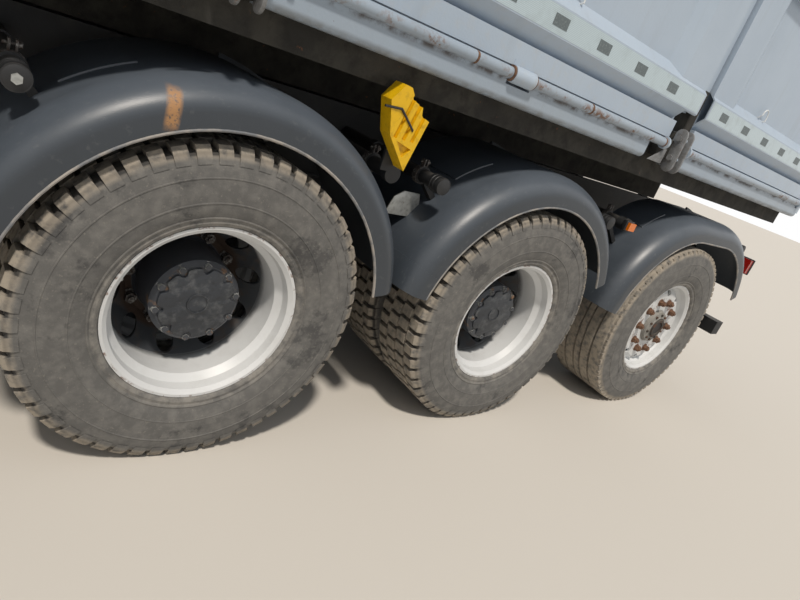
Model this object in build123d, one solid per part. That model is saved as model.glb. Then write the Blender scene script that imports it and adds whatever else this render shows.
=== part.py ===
"""Four-axle tipper truck with drop sides.

Millimetres. +X is the truck's front, +Y its left, +Z up. The origin is on the ground, below the
middle of the truck's bounding box. Each entry of PIECES becomes one STEP file in parts/.
"""
import os
from math import atan2, cos, degrees, hypot, radians, sin

from build123d import *

# Overall
LENGTH = 8600.0
FRONT_END = LENGTH / 2
REAR_END = -LENGTH / 2
GAP = 0.3                      # clearance between pieces that seat on each other
SHUT = 6.0                     # shut line of doors and panels

# Axles and wheels
TYRE_R = 534.0                 # tread radius, out to the lugs' tips
AXLE_Z = TYRE_R
FRONT_AXLE_X = 2850.0
DRIVE_X = (-350.0, -1770.0)
TRAIL_X = -3195.0
TWIN_TYRE_W = 312.0
TWIN_OUTER_Y = 1094.0          # middle of the outer twin tyre
TWIN_SPACING = 350.0
TWIN_RIM_W = 256.0
SINGLE_TYRE_W = 385.0
SINGLE_Y = 1082.0
SINGLE_RIM_W = 324.0
FLANGE_R = 298.5
SEAT_R = 285.0                 # tyre's seat on the rim
FLANGE_T = 12.0
RIM_WALL = 9.0
DROP_R = 262.0                 # drop centre of the rim, outside radius
SPINDLE_R = 45.0
BORE_FIT = 0.3
KINGPIN_Y = 900.0

# Chassis
RAIL_Y = 430.0                 # outer face of the frame rails
RAIL_W = 85.0
RAIL_T = 9.0
RAIL_BOTTOM = 780.0
RAIL_TOP = 1070.0
RAIL_FRONT = 3980.0
RAIL_REAR = -4010.0
SUB_TOP = 1190.0               # top of the tipping subframe
SUB_FRONT = 1950.0
SUB_REAR = -4000.0
SPRING_H = 80.0
AXLE_TUBE_R = 80.0
BANJO_R = 225.0

# Tipping gear
TIP_X = -3970.0
TIP_Z = 1230.0
TIP_PIN_R = 30.0
CYL_X = -1370.0
CYL_PIN_Z = 1150.0
CYL_PIN_R = 25.0
CYL_BOTTOM = 660.0
CYL_TOP = 1370.0
CYL_EYE_Z = 1460.0
CYL_R = 95.0
STAGE_R = (85.0, 73.0, 59.0)   # outer radii of the three stages
STAGE_WALL = 10.0
STAGE_STEP = 10.0

# Body
BODY_REAR = -4230.0
BODY_FRONT = 1950.0
BEAM_BOTTOM = 1200.0
BEARER_BOTTOM = 1345.0
FLOOR_BOTTOM = 1500.0
FLOOR_TOP = 1508.0
SILL_BOTTOM = 1421.0
SILL_Y = 1240.0
SILL_W = 90.0
ROD_R = 20.0
ROD_SINK = 3.0                 # depth of the rod's weld in the sill's top
ROD_Z = FLOOR_BOTTOM + ROD_R - ROD_SINK
ROD_Y = SILL_Y
LATCH_ZONES = ((-2450.0, -2270.0), (-290.0, -110.0))
PANEL_GAP_BACK = 40.0          # panel gap's rear edge, behind the latch zone's rear edge
PANEL_GAP_W = 90.0
LATCH_W = LATCH_ZONES[0][1] - LATCH_ZONES[0][0]
LATCH_CLEAR_Z = 1672.0         # panels end above this height over the latch links
PANEL_IN = 1185.0              # inner face of the drop sides
SKIN_Y = 1200.0                # recessed outer face of the drop sides
STRIP_Y = 1235.0
TAPE_Y = 1255.0
STRIP_BOTTOM = 1543.0
STRIP_TOP = 1620.0
TAPE_BOTTOM = 1679.0
TAPE_TOP = 1770.0
CHAMFER_TOP = 1822.0
TOP_RAIL = 2330.0
SIDE_TOP = 2420.0
PILLAR_Y = 1240.0
POST_W = 40.0
KNUCKLE_R = 29.0
HEADBOARD_T = 40.0
HEADBOARD_TOP = 2620.0
GATE_T = 36.0
GATE_BOTTOM = 1452.0
GATE_TOP = 2400.0
GATE_PIN_X = -4262.0
GATE_PIN_Z = 2440.0
GATE_PIN_R = 14.0

# Mudguards over the rear axles
GUARD_LIP_R = 590.0
GUARD_CROWN_R = 712.0
GUARD_T = 8.0
GUARD_Y = 1250.0               # outer lip
GUARD_SHOULDER = 115.0         # width of the rounded outer edge
GUARD_FACE = 45.0              # upright stretch above the lip
GUARD_Z = AXLE_Z - 10
ARM_R = 27.0

# Cab
CAB_REAR = 2400.0
CAB_FRONT = 4275.0
CAB_Y = 1150.0
CAB_WALL = 50.0
CAB_LOW = 1010.0
CAB_HIGH = 1230.0              # underside above the front wheels
CAB_STEP_X = 3520.0
CAB_BELT = 1700.0
CAB_TOP = 2880.0
CAB_BROW_X = 4130.0
CAB_BROW_Z = 2660.0
CAB_ROOF_X = 3900.0
TUNNEL_Y = 450.0
TUNNEL_TOP = 1370.0
DOOR_REAR = 3000.0
DOOR_FRONT = 4050.0
DOOR_T = 45.0
TILT_X = 4190.0
TILT_Z = 700.0
TILT_PIN_R = 28.0
BUMPER_TOP = 970.0
BUMPER_BOTTOM = 470.0
BUMPER_Y = 1230.0
BUMPER_T = 60.0

SIDES = (("left", 1), ("right", -1))
PIECES = {}


def box(x0, x1, y0, y1, z0, z1):
    """Block between two corners."""
    block = Box(abs(x1 - x0), abs(y1 - y0), abs(z1 - z0))
    return Pos((x0 + x1) / 2, (y0 + y1) / 2, (z0 + z1) / 2) * block


def rod_x(x0, x1, y, z, r):
    """Round bar along X."""
    return Pos((x0 + x1) / 2, y, z) * Rot(0, 90, 0) * Cylinder(r, abs(x1 - x0))


def rod_y(x, y0, y1, z, r):
    """Round bar along Y."""
    return Pos(x, (y0 + y1) / 2, z) * Rot(90, 0, 0) * Cylinder(r, abs(y1 - y0))


def rod_z(x, y, z0, z1, r):
    """Round bar along Z."""
    return Pos(x, y, (z0 + z1) / 2) * Cylinder(r, abs(z1 - z0))


def prism_y(points, y0, y1):
    """Outline of (x, z) points, extruded from y0 to y1."""
    low, high = min(y0, y1), max(y0, y1)
    face = make_face(Plane.XZ * Polyline(*points, close=True))
    return Pos(0, high, 0) * extrude(face, amount=high - low, dir=(0, -1, 0))


def prism_x(points, x0, x1):
    """Outline of (y, z) points, extruded from x0 to x1."""
    low, high = min(x0, x1), max(x0, x1)
    face = make_face(Plane.YZ * Polyline(*points, close=True))
    return Pos(low, 0, 0) * extrude(face, amount=high - low, dir=(1, 0, 0))


def spin_y(points, x, z, start=0.0, turn=360.0):
    """Outline of (radius, y) points turned about the Y line through (x, z), from straight up
    and start degrees towards the front."""
    plane = Plane(origin=(0, 0, 0), x_dir=(0, 0, 1), z_dir=(-1, 0, 0))
    face = make_face(plane * Polyline(*points, close=True))
    ring = revolve(face.rotate(Axis.Y, start), axis=Axis.Y, revolution_arc=turn)
    return Pos(x, 0, z) * ring


def side(shape, sign):
    """The left-hand shape, or its mirror image for the right."""
    return shape if sign > 0 else mirror(shape, about=Plane.XZ)


def both(shape):
    """The left-hand shape and its mirror image."""
    return [shape, mirror(shape, about=Plane.XZ)]


def joined(shapes):
    """One solid from shapes that meet."""
    shapes = list(shapes)
    whole = shapes[0]
    for shape in shapes[1:]:
        whole = whole + shape
    return whole


def put(name, *shapes):
    """Store the solids of one piece."""
    solids = []
    for shape in shapes:
        solids += shape.solids()
    PIECES[name] = solids


def around(x, z, r, count, start=0.0):
    """Points (x, z) on a bolt circle."""
    turns = [radians(start + 360.0 * i / count) for i in range(count)]
    return [(x + r * cos(t), z + r * sin(t)) for t in turns]


# Wheels

def tyre_profile(middle, width, rim_w):
    """(radius, y) outline of one tyre on its rim."""
    seat = rim_w / 2 - FLANGE_T - GAP
    half = width / 2
    right = [(SEAT_R + GAP, seat), (FLANGE_R + GAP, seat), (FLANGE_R + 2, seat + FLANGE_T),
             (345.0, half - 8), (400.0, half), (460.0, half - 4), (505.0, half - 16), (TYRE_R, half - 34)]
    left = [(r, -y) for r, y in reversed(right)]
    return [(r, middle + y) for r, y in right + left]


def rim_profile(middle, rim_w):
    """(radius, y) outline of a drop-centre rim without its disc."""
    half = rim_w / 2
    outside = [(FLANGE_R, half), (FLANGE_R, half - FLANGE_T), (SEAT_R, half - FLANGE_T - GAP),
               (SEAT_R - 4, half - 45), (DROP_R, half - 70), (DROP_R, 70 - half),
               (SEAT_R - 4, 45 - half), (SEAT_R, FLANGE_T + GAP - half), (FLANGE_R, FLANGE_T - half),
               (FLANGE_R, -half)]
    inside = [(FLANGE_R - RIM_WALL, -half), (SEAT_R - RIM_WALL, FLANGE_T - half),
              (SEAT_R - RIM_WALL - 4, 45 - half), (DROP_R - RIM_WALL, 70 - half),
              (DROP_R - RIM_WALL, half - 70), (SEAT_R - RIM_WALL - 4, half - 45),
              (SEAT_R - RIM_WALL, half - FLANGE_T), (FLANGE_R - RIM_WALL, half)]
    return [(r, middle + y) for r, y in outside + inside]


DISC_Y = TWIN_OUTER_Y - TWIN_SPACING / 2
DISC_T = 12.0
DISC_RISE = 125.0              # disc's rim edge, beyond its hub face
HAND_HOLES = 10
HAND_HOLE_R = 30.0
HAND_HOLE_RING = 220.0
NUT_TURN = 6.0                 # degrees from straight ahead to the first wheel nut
COVER_TURN = 22.5              # and to the cover's first bolt
HUB_COVER_Y = 1128.0
HUB_COVER_R = 143.0
DRUM_R = 205.0


def drive_wheel(x, sign):
    """Two rims with their discs, and the hub with its planetary cover, as one casting."""
    inner = TWIN_OUTER_Y - TWIN_SPACING
    rims = [spin_y(rim_profile(y, TWIN_RIM_W), x, AXLE_Z) for y in (TWIN_OUTER_Y, inner)]
    discs = []
    for out in (1, -1):
        slope = [(DROP_R - 4, DISC_Y + out * (DISC_RISE - DISC_T)),
                 (DROP_R - 4, DISC_Y + out * DISC_RISE),
                 (172, DISC_Y + out * DISC_T), (90, DISC_Y + out * DISC_T), (90, DISC_Y),
                 (177, DISC_Y)]
        discs.append(spin_y(slope, x, AXLE_Z))
    holes = [rod_y(px, DISC_Y - 140, DISC_Y + 140, pz, HAND_HOLE_R)
             for px, pz in around(x, AXLE_Z, HAND_HOLE_RING, HAND_HOLES, NUT_TURN + 18)]
    hub = spin_y([(AXLE_TUBE_R + BORE_FIT, 690), (DRUM_R, 690), (DRUM_R, 890), (150, 895),
                  (150, DISC_Y + 20), (HUB_COVER_R, DISC_Y + 30), (HUB_COVER_R, HUB_COVER_Y - 14),
                  (HUB_COVER_R - 14, HUB_COVER_Y), (48, HUB_COVER_Y), (40, HUB_COVER_Y + 6),
                  (0, HUB_COVER_Y + 6), (0, 902), (AXLE_TUBE_R + BORE_FIT, 902)], x, AXLE_Z)
    nuts = [rod_y(px, DISC_Y, DISC_Y + DISC_T + 26, pz, 16)
            for px, pz in around(x, AXLE_Z, 167.5, 10, NUT_TURN)]
    cover_bolts = [rod_y(px, HUB_COVER_Y - 20, HUB_COVER_Y + 8, pz, 9)
                   for px, pz in around(x, AXLE_Z, 127, 10, COVER_TURN)]
    body = joined(rims + discs + [hub])
    for hole in holes:
        body = body - hole
    return side(joined([body] + nuts + cover_bolts), sign)


def twin_tyres(x, sign):
    inner = TWIN_OUTER_Y - TWIN_SPACING
    return [side(spin_y(tyre_profile(y, TWIN_TYRE_W, TWIN_RIM_W), x, AXLE_Z), sign)
            for y in (TWIN_OUTER_Y, inner)]


FLUSH_Y = 1205.0               # outer face of the single wheel's disc
FLUSH_T = 14.0


def single_wheel(x, sign):
    """Single rim with its disc near the outer edge, hub and brake drum."""
    rim = spin_y(rim_profile(SINGLE_Y, SINGLE_RIM_W), x, AXLE_Z)
    disc = spin_y([(SEAT_R - 6, FLUSH_Y - 60), (SEAT_R - 6, FLUSH_Y - 60 + FLUSH_T),
                   (225, FLUSH_Y), (90, FLUSH_Y), (90, FLUSH_Y - FLUSH_T), (221, FLUSH_Y - FLUSH_T)],
                  x, AXLE_Z)
    slots = [rod_y(px, FLUSH_Y - 80, FLUSH_Y + 20, pz, 21)
             for px, pz in around(x, AXLE_Z, 228, 10, 18)]
    hub = spin_y([(SPINDLE_R + BORE_FIT, 1000), (DRUM_R, 1000), (DRUM_R, 1150), (130, 1160),
                  (130, FLUSH_Y - FLUSH_T), (105, FLUSH_Y), (100, FLUSH_Y + 22), (72, FLUSH_Y + 26),
                  (66, FLUSH_Y + 34), (0, FLUSH_Y + 34), (0, 1180), (SPINDLE_R + BORE_FIT, 1180)],
                 x, AXLE_Z)
    nuts = [rod_y(px, FLUSH_Y - 5, FLUSH_Y + 24, pz, 16)
            for px, pz in around(x, AXLE_Z, 167.5, 10)]
    body = joined([rim, disc, hub])
    for slot in slots:
        body = body - slot
    return side(joined([body] + nuts), sign)


def single_tyre(x, sign):
    return side(spin_y(tyre_profile(SINGLE_Y, SINGLE_TYRE_W, SINGLE_RIM_W), x, AXLE_Z), sign)


BEAM_H = 96.0
BOSS_R = 48.0
KINGPIN_R = 22.0


def knuckle(x, sign):
    """Yoke with its kingpin through the beam's end, anchor plate and spindle."""
    top = AXLE_Z + BEAM_H / 2 + 10
    bottom = AXLE_Z - BEAM_H / 2 - 10
    arms = [box(x - 42, x + 42, KINGPIN_Y - 40, 968, top, top + 38),
            box(x - 42, x + 42, KINGPIN_Y - 40, 968, bottom - 38, bottom)]
    web = box(x - 60, x + 60, 958, 985, bottom - 38, top + 38)
    kingpin = rod_z(x, KINGPIN_Y, bottom - 38, top + 38, KINGPIN_R)
    plate = rod_y(x, 966, 988, AXLE_Z, 185)
    spindle = rod_y(x, 980, 1176, AXLE_Z, SPINDLE_R)
    return side(joined(arms + [web, plate, spindle, kingpin]), sign)


def steered_beam(x):
    """Straight axle beam with a kingpin boss at each end."""
    half = BEAM_H / 2
    beam = box(x - 55, x + 55, -(KINGPIN_Y - 20), KINGPIN_Y - 20, AXLE_Z - half, AXLE_Z + half)
    bosses = [rod_z(x, s * KINGPIN_Y, AXLE_Z - half, AXLE_Z + half, BOSS_R) for _, s in SIDES]
    whole = joined([beam] + bosses)
    for _, s in SIDES:
        whole = whole - rod_z(x, s * KINGPIN_Y, 0, AXLE_Z * 2, KINGPIN_R + BORE_FIT)
    return whole


def leaf_spring(x, seat_z):
    """Leaf pack on its axle seat, with hangers up to the rail."""
    y0, y1 = RAIL_Y - RAIL_W, RAIL_Y
    leaves = [box(x - 560 + 70 * i, x + 560 - 70 * i, y0, y1, RAIL_BOTTOM - 30 - SPRING_H / 4 * (i + 1),
                  RAIL_BOTTOM - 30 - SPRING_H / 4 * i) for i in range(4)]
    hangers = [box(x + s * 520 - 30, x + s * 520 + 30, y0, y1, RAIL_BOTTOM - 32, RAIL_BOTTOM)
               for s in (1, -1)]
    seat = box(x - 70, x + 70, y0, y1, seat_z, RAIL_BOTTOM - 28 - SPRING_H)
    return joined(leaves + hangers + [seat])


def axles_and_springs():
    seat_z = AXLE_Z + BEAM_H / 2
    solids = []
    for x in (FRONT_AXLE_X, TRAIL_X):
        springs = [s for s in both(leaf_spring(x, seat_z - 2))]
        solids.append(joined([steered_beam(x)] + springs))
    put("steered_axles", *solids)


GEARBOX_REAR = 2300.0


def drive_line():
    solids = []
    for x in DRIVE_X:
        tube = rod_y(x, -885, 885, AXLE_Z, AXLE_TUBE_R)
        banjo = Pos(x, 0, AXLE_Z) * Sphere(BANJO_R)
        nose = rod_x(x, x + 300, 0, AXLE_Z, 85)
        springs = both(leaf_spring(x, AXLE_Z + AXLE_TUBE_R - 14))
        solids.append(joined([tube, banjo, nose] + springs))
    put("drive_axles", *solids)
    shaft_r = 45
    put("drive_shafts",
        rod_x(DRIVE_X[0] + 300 + GAP, GEARBOX_REAR - GAP, 0, AXLE_Z, shaft_r),
        rod_x(DRIVE_X[1] + 300 + GAP, DRIVE_X[0] - BANJO_R - GAP, 0, AXLE_Z, shaft_r))


# Chassis

CROSSMEMBERS = (3935, 2330, 1300, 300, -800, -2350, -2750, -3940)
CROSSMEMBER_W = 80.0
CROSSMEMBER_Z = (860.0, 990.0)
PIVOT_PLATE_T = 30.0
PIVOT_PLATE_TOP = 960.0
PIVOT_END = 612.0              # ends of the cab's tilting shaft


def frame_rails():
    """Channel rails with their crossmembers, and the cab's tilting shaft on its two plates."""
    rail = box(RAIL_REAR, RAIL_FRONT, RAIL_Y - RAIL_W, RAIL_Y, RAIL_BOTTOM, RAIL_TOP)
    hollow = box(RAIL_REAR - 1, RAIL_FRONT + 1, RAIL_Y - RAIL_W - 1, RAIL_Y - RAIL_T,
                 RAIL_BOTTOM + RAIL_T, RAIL_TOP - RAIL_T)
    inner = RAIL_Y - RAIL_T + 2
    half = CROSSMEMBER_W / 2
    bars = [box(x - half, x + half, -inner, inner, *CROSSMEMBER_Z) for x in CROSSMEMBERS]
    pivot_plate = box(RAIL_FRONT, TILT_X + TILT_PIN_R + 2, RAIL_Y - PIVOT_PLATE_T, RAIL_Y,
                      TILT_Z - TILT_PIN_R - 12, PIVOT_PLATE_TOP)
    pivot = rod_y(TILT_X, -PIVOT_END, PIVOT_END, TILT_Z, TILT_PIN_R)
    put("frame_rails", joined(both(rail - hollow) + bars + both(pivot_plate) + [pivot]))


SUB_W = 80.0
SUB_CROSSES = (1850, 500, -900, -2600)
SUB_CROSS_W = 70.0
SUB_CROSS_H = 80.0
CRADLE_W = 120.0
CRADLE_GAP = 20.0              # beside the cylinder
BEARING_X = (-28.0, 50.0)      # ends of the tipping bearings, from their axis
BEARING_Z = (1080.0, 1150.0)   # foot
BEARING_IN = (60.0, 20.0)      # faces, inwards from the subframe's beam


def subframe():
    """Tipping subframe: two beams, crossbars, the cylinder's cradle and the rear bearings."""
    y0 = RAIL_Y - SUB_W
    beam = box(SUB_REAR, SUB_FRONT, y0, RAIL_Y, RAIL_TOP, SUB_TOP)
    cradle = box(CYL_X - CRADLE_W / 2, CYL_X + CRADLE_W / 2, CYL_R + CRADLE_GAP, y0 + 1,
                 RAIL_TOP + 10, SUB_TOP)
    cradle = cradle - rod_y(CYL_X, 0, y0, CYL_PIN_Z, CYL_PIN_R + BORE_FIT)
    x0, x1 = TIP_X + BEARING_X[0], TIP_X + BEARING_X[1]
    bearing = box(x0, x1, y0 - BEARING_IN[0], y0 - BEARING_IN[1], BEARING_Z[1] - 20,
                  TIP_Z + TIP_PIN_R + 15)
    foot = box(x0, x1, y0 - BEARING_IN[0], y0 + 1, *BEARING_Z)
    bearing = bearing - rod_y(TIP_X, 0, y0, TIP_Z, TIP_PIN_R + BORE_FIT)
    cross = [box(x - SUB_CROSS_W / 2, x + SUB_CROSS_W / 2, -y0 - 1, y0 + 1, RAIL_TOP + 10,
                 RAIL_TOP + 10 + SUB_CROSS_H) for x in SUB_CROSSES]
    put("tipping_subframe", joined(both(beam) + both(cradle) + both(foot) + both(bearing) + cross))


ENGINE_X = (2700.0, 3780.0)
ENGINE_Y = 330.0
ENGINE_Z = (690.0, 1300.0)
GEARBOX_Y = 200.0
GEARBOX_Z = (440.0, 850.0)
RADIATOR_X = (3840.0, 3888.0)
RADIATOR_Z = (700.0, 1250.0)
FAN_Y = 120.0
FAN_Z = (850.0, 1000.0)


def engine():
    block = box(*ENGINE_X, -ENGINE_Y, ENGINE_Y, *ENGINE_Z)
    radiator = box(*RADIATOR_X, -ENGINE_Y, ENGINE_Y, *RADIATOR_Z)
    link = box(ENGINE_X[1], RADIATOR_X[0], -FAN_Y, FAN_Y, *FAN_Z)
    gearbox = box(GEARBOX_REAR, ENGINE_X[0] + 2, -GEARBOX_Y, GEARBOX_Y, *GEARBOX_Z)
    put("engine_and_radiator", joined([block, gearbox, link, radiator]))


TANKS_Y = 1130.0               # outer face of fuel tank and battery box
TANKS_TOP = 1040.0
FUEL_TANK_X = (900.0, 2050.0)
FUEL_TANK_BOTTOM = 520.0
FUEL_TANK_CORNER = 90.0
BATTERY_X = (1350.0, 1880.0)
BATTERY_BOTTOM = 560.0
BATTERY_CORNER = 20.0
AIR_TANK_X = (520.0, 1290.0)
AIR_TANK_R = 125.0
AIR_TANKS_Y = (600.0, 880.0)
AIR_TANK_Z = 900.0
STRAP_W = 40.0
STRAP_IN = 130.0               # from an air tank's end to its strap's middle


def tanks_and_boxes():
    tank = box(*FUEL_TANK_X, RAIL_Y, TANKS_Y, FUEL_TANK_BOTTOM, TANKS_TOP)
    put("fuel_tank", fillet(tank.edges().filter_by(Axis.X), FUEL_TANK_CORNER))
    case = box(*BATTERY_X, -TANKS_Y, -RAIL_Y, BATTERY_BOTTOM, TANKS_TOP)
    case = fillet(case.edges().filter_by(Axis.X), BATTERY_CORNER)
    reservoirs = [rod_x(*AIR_TANK_X, -y, AIR_TANK_Z, AIR_TANK_R) for y in AIR_TANKS_Y]
    crown = AIR_TANK_Z + AIR_TANK_R
    straps = [box(x - STRAP_W / 2, x + STRAP_W / 2, -AIR_TANKS_Y[1] - AIR_TANK_R - 5, -RAIL_Y,
                  crown - 5, crown + 20)
              for x in (AIR_TANK_X[0] + STRAP_IN, AIR_TANK_X[1] - STRAP_IN)]
    put("battery_box_and_air_tanks", case, joined(reservoirs + straps))


STACK_X = 2100.0
STACK_Y = 800.0
STACK_R = 60.0
STACK_TOP = 2900.0
SILENCER_X = (1930.0, 2170.0)
SILENCER_Y = (560.0, 1100.0)
SILENCER_Z = (620.0, 1070.0)
SILENCER_CORNER = 60.0
SILENCER_STAY_X = (1990.0, 2110.0)
SILENCER_STAY_Z = (850.0, 1000.0)


def exhaust():
    """Silencer behind the cab on the right, on its bracket, with the upright stack."""
    stack = rod_z(STACK_X, -STACK_Y, SILENCER_Z[1] - 10, STACK_TOP, STACK_R)
    silencer = box(*SILENCER_X, -SILENCER_Y[1], -SILENCER_Y[0], *SILENCER_Z)
    silencer = fillet(silencer.edges().filter_by(Axis.Y), SILENCER_CORNER)
    bracket = box(*SILENCER_STAY_X, -SILENCER_Y[0] - 2, -RAIL_Y, *SILENCER_STAY_Z)
    put("exhaust", joined([silencer, stack, bracket]))


# Mudguards and what hangs on them

def guard_section(inner_y, shoulder_steps=6):
    """(radius, y) outline of the plastic arch with its rounded outer edge."""
    drop = GUARD_CROWN_R - GUARD_LIP_R - GUARD_FACE
    turns = [radians(90.0 * i / shoulder_steps) for i in range(shoulder_steps + 1)]
    corner_r = GUARD_CROWN_R - drop
    corner_y = GUARD_Y - GUARD_SHOULDER
    outer = [(corner_r + drop * cos(t), corner_y + GUARD_SHOULDER * sin(t)) for t in turns]
    inner = [(corner_r + (drop - GUARD_T) * cos(t), corner_y + (GUARD_SHOULDER - GUARD_T) * sin(t))
             for t in reversed(turns)]
    lip = [(GUARD_LIP_R, GUARD_Y), (GUARD_LIP_R, GUARD_Y - GUARD_T)]
    return ([(GUARD_CROWN_R, inner_y)] + outer + lip + inner
            + [(GUARD_CROWN_R - GUARD_T, inner_y)])


# Rear mudguards: axle, forward end, rearward end (degrees from the top), straight stretch, inner edge
GUARDS = (
    dict(x=DRIVE_X[0] - 5, front=78, rear=78, straight=0, inner=620),
    dict(x=DRIVE_X[1], front=78, rear=66, straight=0, inner=620),
    dict(x=TRAIL_X, front=80, rear=65, straight=280, inner=860),
)
FLAP_DEGREES = 22.0


def mudguard(x, front, rear, straight, inner):
    """One arch: front arc, straight top where it is stretched, rear arc, lower front flap."""
    section = guard_section(inner)
    if straight == 0:
        arch = spin_y(section, x, GUARD_Z, -rear, front + rear)
    else:
        middle = prism_x([(y, GUARD_Z + r) for r, y in section], x - straight, x)
        arch = joined([spin_y(section, x, GUARD_Z, 0, front), middle,
                       spin_y(section, x - straight, GUARD_Z, -rear, rear)])
    lift = 4.0
    flap_band = [(GUARD_CROWN_R - 3, inner + 40), (GUARD_CROWN_R + lift, inner + 40),
                 (GUARD_CROWN_R + lift, GUARD_Y - GUARD_SHOULDER),
                 (GUARD_CROWN_R - 3, GUARD_Y - GUARD_SHOULDER)]
    flap = spin_y(flap_band, x, GUARD_Z, front - FLAP_DEGREES, FLAP_DEGREES)
    rib = spin_y([(GUARD_CROWN_R - 3, inner), (GUARD_CROWN_R + 14, inner),
                  (GUARD_CROWN_R + 14, inner + 18), (GUARD_CROWN_R - 3, inner + 18)],
                 x - straight, GUARD_Z, -rear, rear - 6)
    return joined([arch, flap, rib])


# Tube arms of the mudguards: x, z, and the guard that each one holds
ARMS = (
    dict(x=185, z=1098, guard=0),
    dict(x=-900, z=1078, guard=0),
    dict(x=-1145, z=1074, guard=1),
    dict(x=-2300, z=1084, guard=1),
    dict(x=-2465, z=1092, guard=2),
    dict(x=-3960, z=1110, guard=2),
)
ARM_END = 1130.0
CAP_END = 1166.0
LAMP_ARM = 4


def tab(arm_x, arm_z, guard, y):
    """Flat bar from the arm straight to the guard's crown."""
    low = guard["x"] - guard["straight"]
    centre = min(max(arm_x, low), guard["x"])
    reach = hypot(arm_x - centre, arm_z - GUARD_Z)
    lean = degrees(atan2(arm_x - centre, arm_z - GUARD_Z))
    bar = box(-12, 12, y - 14, y + 14, GUARD_CROWN_R + GAP, reach)
    return Pos(centre, 0, GUARD_Z) * Rot(0, lean, 0) * bar


def guard_arm(x, z, guard):
    """Round tube from the rail with its end cap, clamp bands and the tabs down to the guard."""
    parts = [rod_y(x, RAIL_Y, ARM_END, z, ARM_R), rod_y(x, ARM_END, CAP_END, z, ARM_R + 5),
             box(x - 45, x + 45, RAIL_Y, RAIL_Y + 16, max(z - 60, RAIL_BOTTOM), RAIL_TOP)]
    for y in (GUARDS[guard]["inner"] + 60, 1020.0):
        parts.append(rod_y(x, y - 16, y + 16, z, ARM_R + 7))
        parts.append(tab(x, z, GUARDS[guard], y))
    return joined(parts)


# Wheel chock on its holder: (x, z) outline with the steps of its top, and the hollow near its tip
CHOCK = ((-888, 1108), (-923, 1282), (-887, 1293), (-880, 1318), (-846, 1328), (-816, 1364),
         (-790, 1367), (-753, 1312), (-790, 1209))
CHOCK_HOLLOW = ((-824, 1197), (-889, 1181), (-862, 1150))
CHOCK_Y = (1167.0, 1227.0)
CHOCK_LEAN = -11.5             # degrees that its ribs lean from upright
CHOCK_GROOVES = (-885.0, -850.0, -815.0)   # middles at the height of its centre
CHOCK_GROOVE = 15.0            # width
CHOCK_DEPTH = 12.0             # depth of grooves and hollow
CHOCK_MIDDLE = 1225.0


def chock():
    """Ribbed wedge with a three-sided hollow near its tip."""
    wedge = prism_y(CHOCK, *CHOCK_Y)
    for x in CHOCK_GROOVES:
        groove = box(-CHOCK_GROOVE / 2, CHOCK_GROOVE / 2, CHOCK_Y[1] - CHOCK_DEPTH, CHOCK_Y[1] + 5,
                     -20, 200)
        wedge = wedge - Pos(x, 0, CHOCK_MIDDLE) * Rot(0, CHOCK_LEAN, 0) * groove
    return wedge - prism_y(CHOCK_HOLLOW, CHOCK_Y[1] - CHOCK_DEPTH, CHOCK_Y[1] + 5)


def mudguards_and_arms():
    guards = [mudguard(**row) for row in GUARDS]
    put("rear_mudguards", *[half for guard in guards for half in both(guard)])
    arms = [guard_arm(**row) for row in ARMS]
    holder = box(-915, -840, CHOCK_Y[0] - 12, CHOCK_Y[0] - GAP, 1085, 1300)
    arms[1] = joined([arms[1], holder])
    put("mudguard_arms", *[half for arm in arms for half in both(arm)])
    put("wheel_chocks", *both(chock()))


UNDERRUN_X = (-4250.0, -4150.0)
UNDERRUN_Y = 1200.0
UNDERRUN_Z = (470.0, 570.0)
LEG_X = (-4200.0, -4150.0)
LEG_Y = (350.0, 430.0)
HANGER_Z = (790.0, 900.0)
PLATE_Y = 345.0
PLATE_TOP = 1060.0
TAIL_LAMP_X = (-4240.0, -4190.0)
TAIL_LAMP_Y = (900.0, 1170.0)
TAIL_LAMP_Z = (955.0, 1055.0)
LAMP_ARM_Z = (960.0, 1000.0)


def rear_end():
    """Underrun bar on its legs, the coupling's plate, and the arms of the tail lamps."""
    bar = box(*UNDERRUN_X, -UNDERRUN_Y, UNDERRUN_Y, *UNDERRUN_Z)
    legs = both(box(*LEG_X, *LEG_Y, UNDERRUN_Z[1], HANGER_Z[0] + 10))
    hangers = both(box(LEG_X[0], RAIL_REAR, PLATE_Y, RAIL_Y, *HANGER_Z))
    plate = box(COUPLING_SEAT_X, RAIL_REAR, -PLATE_Y, PLATE_Y, HANGER_Z[0], PLATE_TOP)
    arm_x = TAIL_LAMP_X[1]
    lamp_arm = both(box(arm_x, arm_x + 20, RAIL_Y, TAIL_LAMP_Y[1] - 20, *LAMP_ARM_Z))
    lamp_post = both(box(arm_x, LEG_X[1], RAIL_Y - 35, RAIL_Y, HANGER_Z[0] + 10, LAMP_ARM_Z[1]))
    put("underrun_bar", joined([bar, plate] + legs + hangers + lamp_post + lamp_arm))


COUPLING_X = -4250.0           # rear face of the jaw
COUPLING_Y = 95.0
COUPLING_H = 140.0
COUPLING_Z = 925.0
COUPLING_PIN_R = 20.0
COUPLING_PIN_X = -4120.0
COUPLING_SEAT_X = -4060.0      # rear face of the plate that carries the coupling
COUPLING_MOUTH = 28.0          # half the mouth's height
COUPLING_BACK = 20.0           # thickness behind the mouth


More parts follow.
